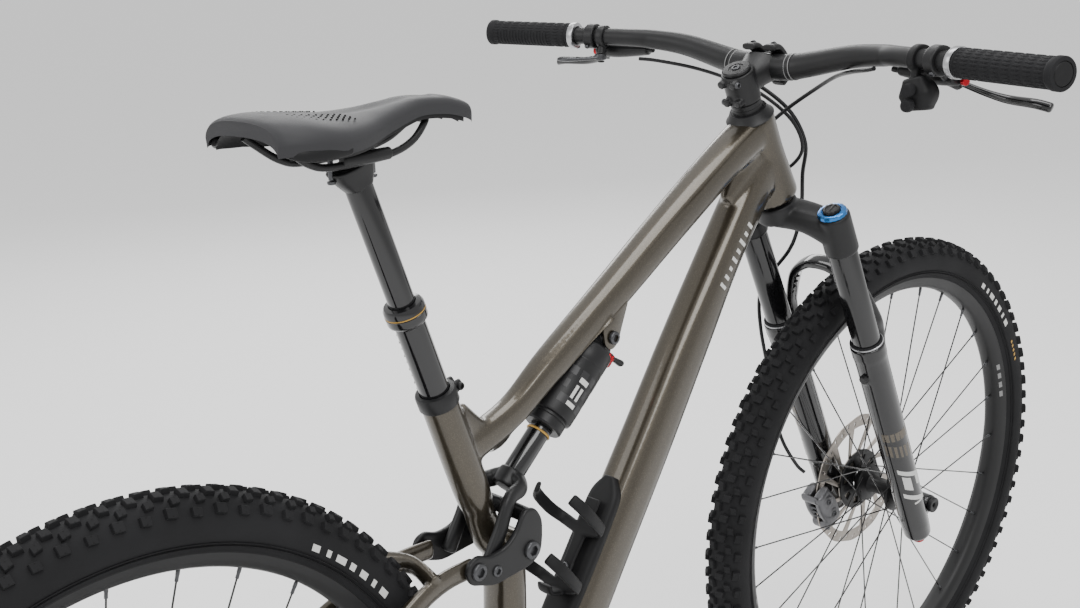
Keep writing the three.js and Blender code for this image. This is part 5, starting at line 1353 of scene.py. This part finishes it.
def build_chain():
    circles = [(0, BB_HEIGHT, 64.5, 1), (LOWER_PULLEY[0], LOWER_PULLEY[1], 22.5, 1),
               (UPPER_PULLEY[0], UPPER_PULLEY[1], 27.0, -1), (REAR_AXLE.x, REAR_AXLE.z, 48.5, 1)]
    line = belt(circles, 1.2)
    total = sum(math.dist(a, b) for a, b in zip(line, line[1:] + line[:1]))
    pins, pitch = evenly(line, 2 * round(total / 25.4))
    chain = Shape()
    for i, a in enumerate(pins):
        b = pins[(i + 1) % len(pins)]
        middle = ((a[0] + b[0]) / 2, (a[1] + b[1]) / 2)
        angle = math.atan2(b[1] - a[1], b[0] - a[0])
        c, s = math.cos(angle), math.sin(angle)
        flat = []
        for u, v in ((-1, 0), (-0.82, 0.82), (-0.45, 1), (0, 0.72), (0.45, 1), (0.82, 0.82), (1, 0),
                     (0.82, -0.82), (0.45, -1), (0, -0.72), (-0.45, -1), (-0.82, -0.82)):
            flat.append((u * (pitch / 2 + 3.4), v * 3.7))
        y = 2.15 if i % 2 else 1.25
        for side in (-1, 1):
            chain.skin([[vec(middle[0] + u * c - v * s, -CHAINLINE + side * (y + t),
                             middle[1] + u * s + v * c) for u, v in flat]
                        for t in (-0.42, 0.42)])
        chain.cross_bar(vec(a[0], 0, a[1]), -CHAINLINE - 2.8, -CHAINLINE + 2.8, 1.8, 8, 0.3)
    piece("chain_links", chain, None, STEEL, ("chain",),
          blend=("frame", "chainstay_body", tuple(to_world(vec(60, 0, 350))),
                 tuple(to_world(vec(-120, 0, 350)))))


def build_drive():
    holes = [circle(15.4, 40), *windows(4, 0.14, 54, 34, (8, 6))]
    ring_shape = Shape().cutout(cog_outline(66, 32, 4.2), holes, 1.6, lambda u, v,
                                w: BB + vec(u, -CHAINLINE + w, v), 0.4)
    piece("chainring_plate", ring_shape, "cranks", SATIN, ("chainring",))
    for label, side, inner in (("right", -1, 54.1), ("left", 1, 56.6)):
        arm = Shape()
        reach = -side
        arm.cross_bar(BB, side * inner, side * (Q_HALF - 12), 20, 44, 2)
        arm.loft([(vec(0, side * 71, BB_HEIGHT), 9, 18), (vec(reach * 60, side * 74, BB_HEIGHT), 8, 15),
                  (vec(reach * 140, side * 78, BB_HEIGHT), 7.5, 13),
                  (vec(reach * 170, side * 78.5, BB_HEIGHT), 7.5, 15)],
                 sides=36, power=0.75, steps=8, edge=6)
        piece(f"crank_{label}_arm", arm, "cranks", SATIN, (f"crank_{label}",), fused=1.3,
              smoothing=5)
        bits = Shape()
        bits.bolt(BB + SIDE * side * 74, SIDE * side, 11, 2.6, 0.4)
        if side < 0:
            bits.cross_bar(BB, -55, 57, 14.8, 36)
        piece(f"crank_{label}_bolt", bits, "cranks", ALLOY)
        build_pedal(label, side)


def build_pedal(label, side):
    eye = vec(-side * CRANK_LENGTH, 0, BB_HEIGHT)
    middle = eye + SIDE * side * (Q_HALF + 56)

    def place(u, v, w):
        return middle + vec(u, v, w)
    outline = rounded([(-49, -36), (-38, -50), (38, -50), (49, -36), (49, 36), (38, 50), (-38, 50),
                       (-49, 36)], 12)
    windows = [rounded([(s * 12, -40), (s * 38, -36), (s * 40, 36), (s * 12, 40)][::s], 6) for s in (-1, 1)]
    body = Shape().cutout(outline, windows, 6.6, place, 1.4)
    body.cross_bar(eye, side * (Q_HALF + 4), side * (Q_HALF + 106), 8, 32, 1.5)
    piece(f"pedal_{label}_body", body, f"pedal_{label}_body", SATIN, (f"pedal_{label}",))
    pins = Shape()
    for u, v in ((-44, -30), (-44, 30), (44, -30), (44, 30), (-26, -44), (26, -44), (-26, 44), (26, 44),
                 (-44, 0), (44, 0)):
        for up in (-1, 1):
            pins.bar(place(u, v, up * 5.8), place(u, v, up * 8.4), 1.9, sides=12)
    pins.cross_bar(eye, side * 76, side * (Q_HALF + 6), 6.5, 24)
    piece(f"pedal_{label}_pins", pins, f"pedal_{label}_body", ALLOY)


def build_derailleur():
    hanger = vec(-440, -92, 330)
    body = Shape()
    body.cross_bar(REAR_AXLE, -98, -86.4, 15, 40, 1.5)
    body.loft([(vec(REAR_AXLE.x, -93, AXLE_HEIGHT), 5, 14), (hanger, 6, 13)], sides=24)
    body.loft([(hanger, 9, 14), (vec(-452, -84, 296), 14, 17),
               (vec(UPPER_PULLEY[0], -76, UPPER_PULLEY[1]), 9, 16)], sides=32,
              power=0.8, steps=8, edge=4)
    piece("derailleur_shell", body, "seatstay_body", SATIN, ("derailleur_body",), fused=1.1,
          smoothing=5)
    bits = Shape()
    bits.bolt(vec(REAR_AXLE.x, -98, AXLE_HEIGHT), -SIDE, 9, 3)
    bits.bolt(hanger - SIDE * 9, -SIDE, 6, 2.4)
    piece("derailleur_bolts", bits, "seatstay_body", ALLOY)
    cage = Shape()
    (ax, az, _), (bx, bz, _) = UPPER_PULLEY, LOWER_PULLEY
    outline = rounded([(ax - 13, az + 6), (ax + 2, az + 15), (ax + 14, az + 4), (bx + 13, bz + 4),
                       (bx + 12, bz - 10), (bx - 4, bz - 14), (bx - 14, bz - 4)], 9)
    window = rounded([(ax, az - 16), (ax + 9, az - 18), (bx + 4, bz + 18), (bx - 5, bz + 20)], 4)
    for y in (-64.3, -41.7):
        cage.plate(outline, y - 1.3, y + 1.3, [window], 0.4)
    piece("derailleur_cage_plates", cage, "derailleur_cage_body", ALLOY, ("derailleur_cage",))
    pulleys = Shape()
    for x, z, radius in (UPPER_PULLEY, LOWER_PULLEY):
        pulleys.cutout(cog_outline(radius, 12, 3.4),
                       [circle(8, 24)] + [circle(2.6, 10, 13.4 * math.sin(k), 13.4 * math.cos(k))
                                                                        for k in (0, 1.257, 2.513, 3.77,
                                                                                  5.027)],
                       1.1, lambda u, v, w, x=x, z=z: vec(x + u, -CHAINLINE + w, z + v), 0.25)
        pulleys.cross_bar(vec(x, 0, z), -64, -42, 7.6, 28)
        pulleys.bolt(vec(x, -65.6, z), -SIDE, 5, 1.6)
    piece("derailleur_pulleys", pulleys, "derailleur_cage_body", COARSE)


# ---- shock and its linkage --------------------------------------------------------------
def can_mark(shape, low, high, start, end, raised, steps):
    """A thin mark wrapped on the shock's can, between distances from its eye and angles."""
    rings = []
    sunk = 25.6
    for k in range(steps + 1):
        turn = start + (end - start) * k / steps
        out = SIDE * math.cos(turn) + SHOCK_ABOVE * math.sin(turn)
        rings.append([along_shock(down) - out * r
                      for down, r in ((low, sunk), (high, sunk), (high, raised), (low, raised))])
    shape.skin(rings)


def build_link():
    outline = rounded([(-71, 560), (-66, 547), (-54, 543), (-34, 536), (18, 540), (31, 548), (34, 562),
                       (35, 584), (26, 599), (12, 601),
                       (-2, 579), (-18, 568), (-40, 566), (-56, 573), (-67, 569)], 8)
    link = Shape()
    for side in (-1, 1):
        link.plate(outline, side * 37.6, side * 44.2, edge=1.8)
    link.loft([(vec(23, -43, 590), 6, 8.6), (vec(25, 0, 589), 6, 9), (vec(23, 43, 590), 6, 8.6)],
              across=FORWARD, sides=28, power=0.75)
    link.cross_bar(ROCKER_PIVOT, -38, 38, 6, 32)
    piece("link", link, "rocker", SATIN, ("rocker_link",), fused=1.1, smoothing=5)
    bolts = Shape()
    for side in (-1, 1):
        bolts.bolt(ROCKER_PIVOT + SIDE * side * 44, SIDE * side, 10, 4.6)
        bolts.bolt(STAY_PIVOT + SIDE * side * 44, SIDE * side, 9.4 if side < 0 else 7, 3.8)
        bolts.bolt(YOKE_PIVOT + SIDE * side * 44, SIDE * side, 6 if side < 0 else 9.4,
                   2.6 if side < 0 else 3.6)
    piece("link_bolts", bolts, "rocker", ALLOY)


def build_shock_shaft():
    yoke = Shape()
    for side in (-1, 1):
        yoke.loft([(vec(YOKE_PIVOT.x, side * 29.5, YOKE_PIVOT.z), 6, 9), (vec(-12, side * 29.5, 583), 6, 8),
                   (vec(4, side * 28, 612), 6, 8), (along_shock(198, 0, side * 20), 7, 10),
                   (along_shock(187, 0, side * 5), 7, 12)], sides=28, power=0.8, steps=8, edge=3)
    yoke.bar(along_shock(204), along_shock(184), 15, None, 40, edge=2)
    piece("yoke", yoke, "shock_shaft", SATIN, fused=1.1, smoothing=5)
    shaft = Shape()
    shaft.bar(along_shock(192), along_shock(80), 12.4, None, 56, edge=0.4)
    piece("shaft", shaft, "shock_shaft", GLOSS, ("shock_yoke",))
    ring_shape = Shape().lathe([(12.4, 0.4), (13.6, 0), (14.2, 1.2), (13.6, 2.4), (12.4, 2)],
                               along_shock(132), SHOCK_DOWN, 48, closed=True)
    piece("travel_ring", ring_shape, "shock_shaft", GOLD)


def build_shock():
    can = Shape()
    can.lathe([(8, 12), (19, 16), (24.4, 19), (26, 21.5), (26, 40), (25.6, 40.6), (25.6, 42.4), (26, 43),
               (26, 108), (25.2, 110.4),
               (22.2, 111.5), (22.2, 114), (21.6, 114.6), (22.2, 115.2), (22.2, 124), (20.6, 126),
               (12.9, 126), (12.9, 96)],
              SHOCK_EYE, SHOCK_DOWN, 72)
    piece("air_can", can, "shock", SATIN, ("shock_body",))
    head = Shape()
    head.loft([(along_shock(-2), 13.2, 11.5), (along_shock(12), 13.8, 18), (along_shock(26), 20, 21)],
              sides=36, power=0.8, steps=6, edge=4)
    head.cross_bar(SHOCK_EYE, -14.6, 14.6, 11.4, 40, 1)
    head.loft([(along_shock(8, -14), 11, 10), (along_shock(33, -17), 11, 11)], sides=28, edge=4)
    piece("shock_head", head, "shock", SATIN, fused=1.0, smoothing=5)
    ghost = Shape()
    for k in range(5):
        for j, wide in enumerate((0.34, 0.2, 0.44)):
            start = math.radians(-62) + k * 0.5 + j * 0.07
            can_mark(ghost, 54 + j * 17, 64 + j * 17, start, start + wide, 26.18, 6)
    piece("can_marks", ghost, "shock", GHOST)
    label = Shape()
    for low, high, start, end in ((62, 68, -0.5, -0.05), (72, 88, -0.5, -0.36), (72, 88, -0.24, -0.1),
                                  (92, 97, -0.5, -0.05)):
        can_mark(label, low, high, start, end, 26.25, 4)
    piece("can_label", label, "shock", PALE)
    valve = Shape()
    valve.bar(along_shock(30, 14, 14), along_shock(30, 20, 22), 4, None, 24)
    valve.bolt(SHOCK_EYE - SIDE * 20.2, -SIDE, 7.6, 4)
    piece("shock_valve", valve, "shock", ALLOY)
    dial = Shape()
    dial.lathe([(6.4, 5.8), (7.9, 6.6), (7.9, 18.4), (7, 20), (0.1, 20)], along_shock(0, -30), SHOCK_DOWN, 48,
               shape=knurled(0.6, 9, 7.5))
    piece("rebound_ring", dial, "shock_lever_body", RED)
    lever = Shape()
    lever.loft([(along_shock(10, -30), 3.6, 3.6), (along_shock(6, -40), 3.8, 3),
                (along_shock(2, -54), 5, 4)], sides=24, edge=2)
    lever.bar(along_shock(6, -30), along_shock(9, -30), 8)
    piece("shock_switch", lever, "shock_lever_body", SATIN, ("shock_lever",), fused=0.8,
          smoothing=3)


# ---- seat post and saddle ---------------------------------------------------------------
def build_seat_post():
    post = Shape()
    post.bar(along_seat(-8), along_seat(243), 13.5, None, 64, edge=0.5)
    piece("post_inner", post, "saddle_body", GLOSS, ("dropper_post",))
    clamp = Shape()
    clamp.loft([(along_seat(240), 13.4, 14), (along_seat(250), 15, 20), (along_seat(262), 18, 25)],
               sides=36, power=0.8, steps=5, edge=1.5)
    for side in (-1, 1):
        clamp.loft([(vec(-178, side * 22, 991.5), 5.4, 6), (vec(-150, side * 22, 991.5), 6, 6.4),
                    (vec(-126, side * 22, 992), 5.4, 6)],
                   sides=24, edge=2)
    clamp.loft([(vec(-152, -24, 993), 10, 3), (vec(-152, 24, 993), 10, 3)], across=FORWARD, sides=24,
               power=0.6, edge=1, steps=1)
    piece("saddle_clamp", clamp, "saddle_body", SATIN, fused=1.1, smoothing=5)
    bolts = Shape()
    for x in (-176, -128):
        bolts.bar(vec(x, 0, 972), vec(x, 0, 998), 2.6)
        bolts.bolt(vec(x, 0, 971), -UP, 4, 3)
    piece("saddle_clamp_bolts", bolts, "saddle_body", ALLOY)


def build_saddle():
    rails = Shape()
    half = [(-248, 26, 1018), (-238, 25, 1010), (-215, 22, 994), (-190, 22, 988), (-130, 22, 990),
            (-95, 18, 998), (-72, 11, 1013)]
    path = [vec(x, -y, z) for x, y, z in half] + [vec(-66, 0, 1014.5)]
    path += [vec(*at) for at in reversed(half)]
    rails.hose(dense(path), 3.5, 20)
    piece("rails", rails, "saddle_body", SATIN, ("saddle_rails",))

    top = [(-268, 56, 1036), (-262, 62, 1038.5), (-250, 68, 1040), (-232, 71, 1039.5), (-205, 68.5, 1036),
           (-170, 54, 1032.5),
           (-135, 37, 1033), (-105, 27.5, 1036), (-80, 22.5, 1038.5), (-50, 20, 1036), (-30, 18, 1031),
           (-17, 15, 1026), (-11, 10, 1022)]
    rows = spline([list(row) for row in top], 5)
    sides = 48
    reach = 1.5

    def crown(x, half, t):
        """How far the saddle's upper skin lies below its crest at t across its width."""
        wing = min(max((half - 24) / 46, 0), 1)
        groove = 2.6 * math.exp(-((t * half) / 7.5) ** 2) if -245 < x < -55 else 0
        return (9 + 13 * wing) * abs(t) ** 2.4 + groove

    def section(x, half, crest, thick_middle, thick_edge, narrow, down):
        one = []
        for lower in (0, 1):
            for k in range(sides):
                t = (-1 + 2 * k / (sides - 1)) * (1 if lower == 0 else -1)
                y = narrow * half * (1 - 0.03 * lower) * math.sin(t * reach) / math.sin(reach)
                thick = lower * (thick_edge + (thick_middle - thick_edge) * (1 - t * t))
                one.append(vec(x, y, crest - down - crown(x, half, t) - thick))
        return one
    cover = Shape().skin([section(x, half, crest, 13, 9, 1.0, 0) for x, half, crest in rows])
    cushion = piece("saddle_cushion", cover, "saddle_body", SKIN, ("saddle",), angle=46)
    shell = Shape().skin([section(x, half, crest, 5, 4.5, 0.9, 8.5) for x, half, crest in rows[7:-9]])
    piece("saddle_shell", shell, "saddle_body", COARSE, angle=46)
    # Small near-black discs of painted shade, standing in for the shade inside small holes in the cover.
    hole_shades = Shape()
    for side in (-1, 1):
        for i in range(9):
            for j in range(4):
                x = -232 + i * 7
                y = side * (22 + j * 7 - abs(i - 4) * 0.6)
                t = math.asin(min(abs(y) / 69 * math.sin(reach), 1)) / reach
                z = 1039.6 - 0.11 * max(x + 232, 0) - 22 * t ** 2.4
                hole_shades.lathe([(0.1, 0.1), (0.9, 0.1), (0.9, -1.2), (0.1, -1.2)], vec(x, y, z), UP, 10)
    piece("saddle_dots", hole_shades, "saddle_body", RECESS_SHADE)
    bumpers = Shape()
    for side in (-1, 1):
        bumpers.loft([(vec(-262, side * 52, 1014), 3, 4), (vec(-250, side * 65, 1010), 3, 5),
                      (vec(-226, side * 68, 1008), 3, 5),
                      (vec(-200, side * 63, 1008), 3, 4)], sides=16, power=0.8, edge=2)
    piece("saddle_bumpers", bumpers, "saddle_body", COARSE)


build_studio()
build_hoses()
build_frame()
build_crown()
build_leg_caps()
build_lowers()
build_seals()
build_fork_marks()
build_fork_ends()
build_cockpit()
build_tyre("front_wheel_tyre", "front_wheel", FRONT_AXLE, FRONT_TREAD)
build_rim("front_rim", "front_wheel", FRONT_AXLE)
build_wheel_middle("front_middle", "front_wheel", FRONT_AXLE, (20, -26), (34, -54), 100,
                   "front_hub", "front_rotor")
build_tyre("rear_wheel_tyre", "rear_wheel", REAR_AXLE, REAR_TREAD)
build_rim("rear_rim", "rear_wheel", REAR_AXLE)
build_wheel_middle("rear_middle", "rear_wheel", REAR_AXLE, (26, -14), (34, -20), 90,
                   "rear_hub", "rear_rotor")
build_rear()
build_cassette()
build_chain()
build_drive()
build_derailleur()
build_link()
build_shock_shaft()
build_shock()
build_seat_post()
build_saddle()
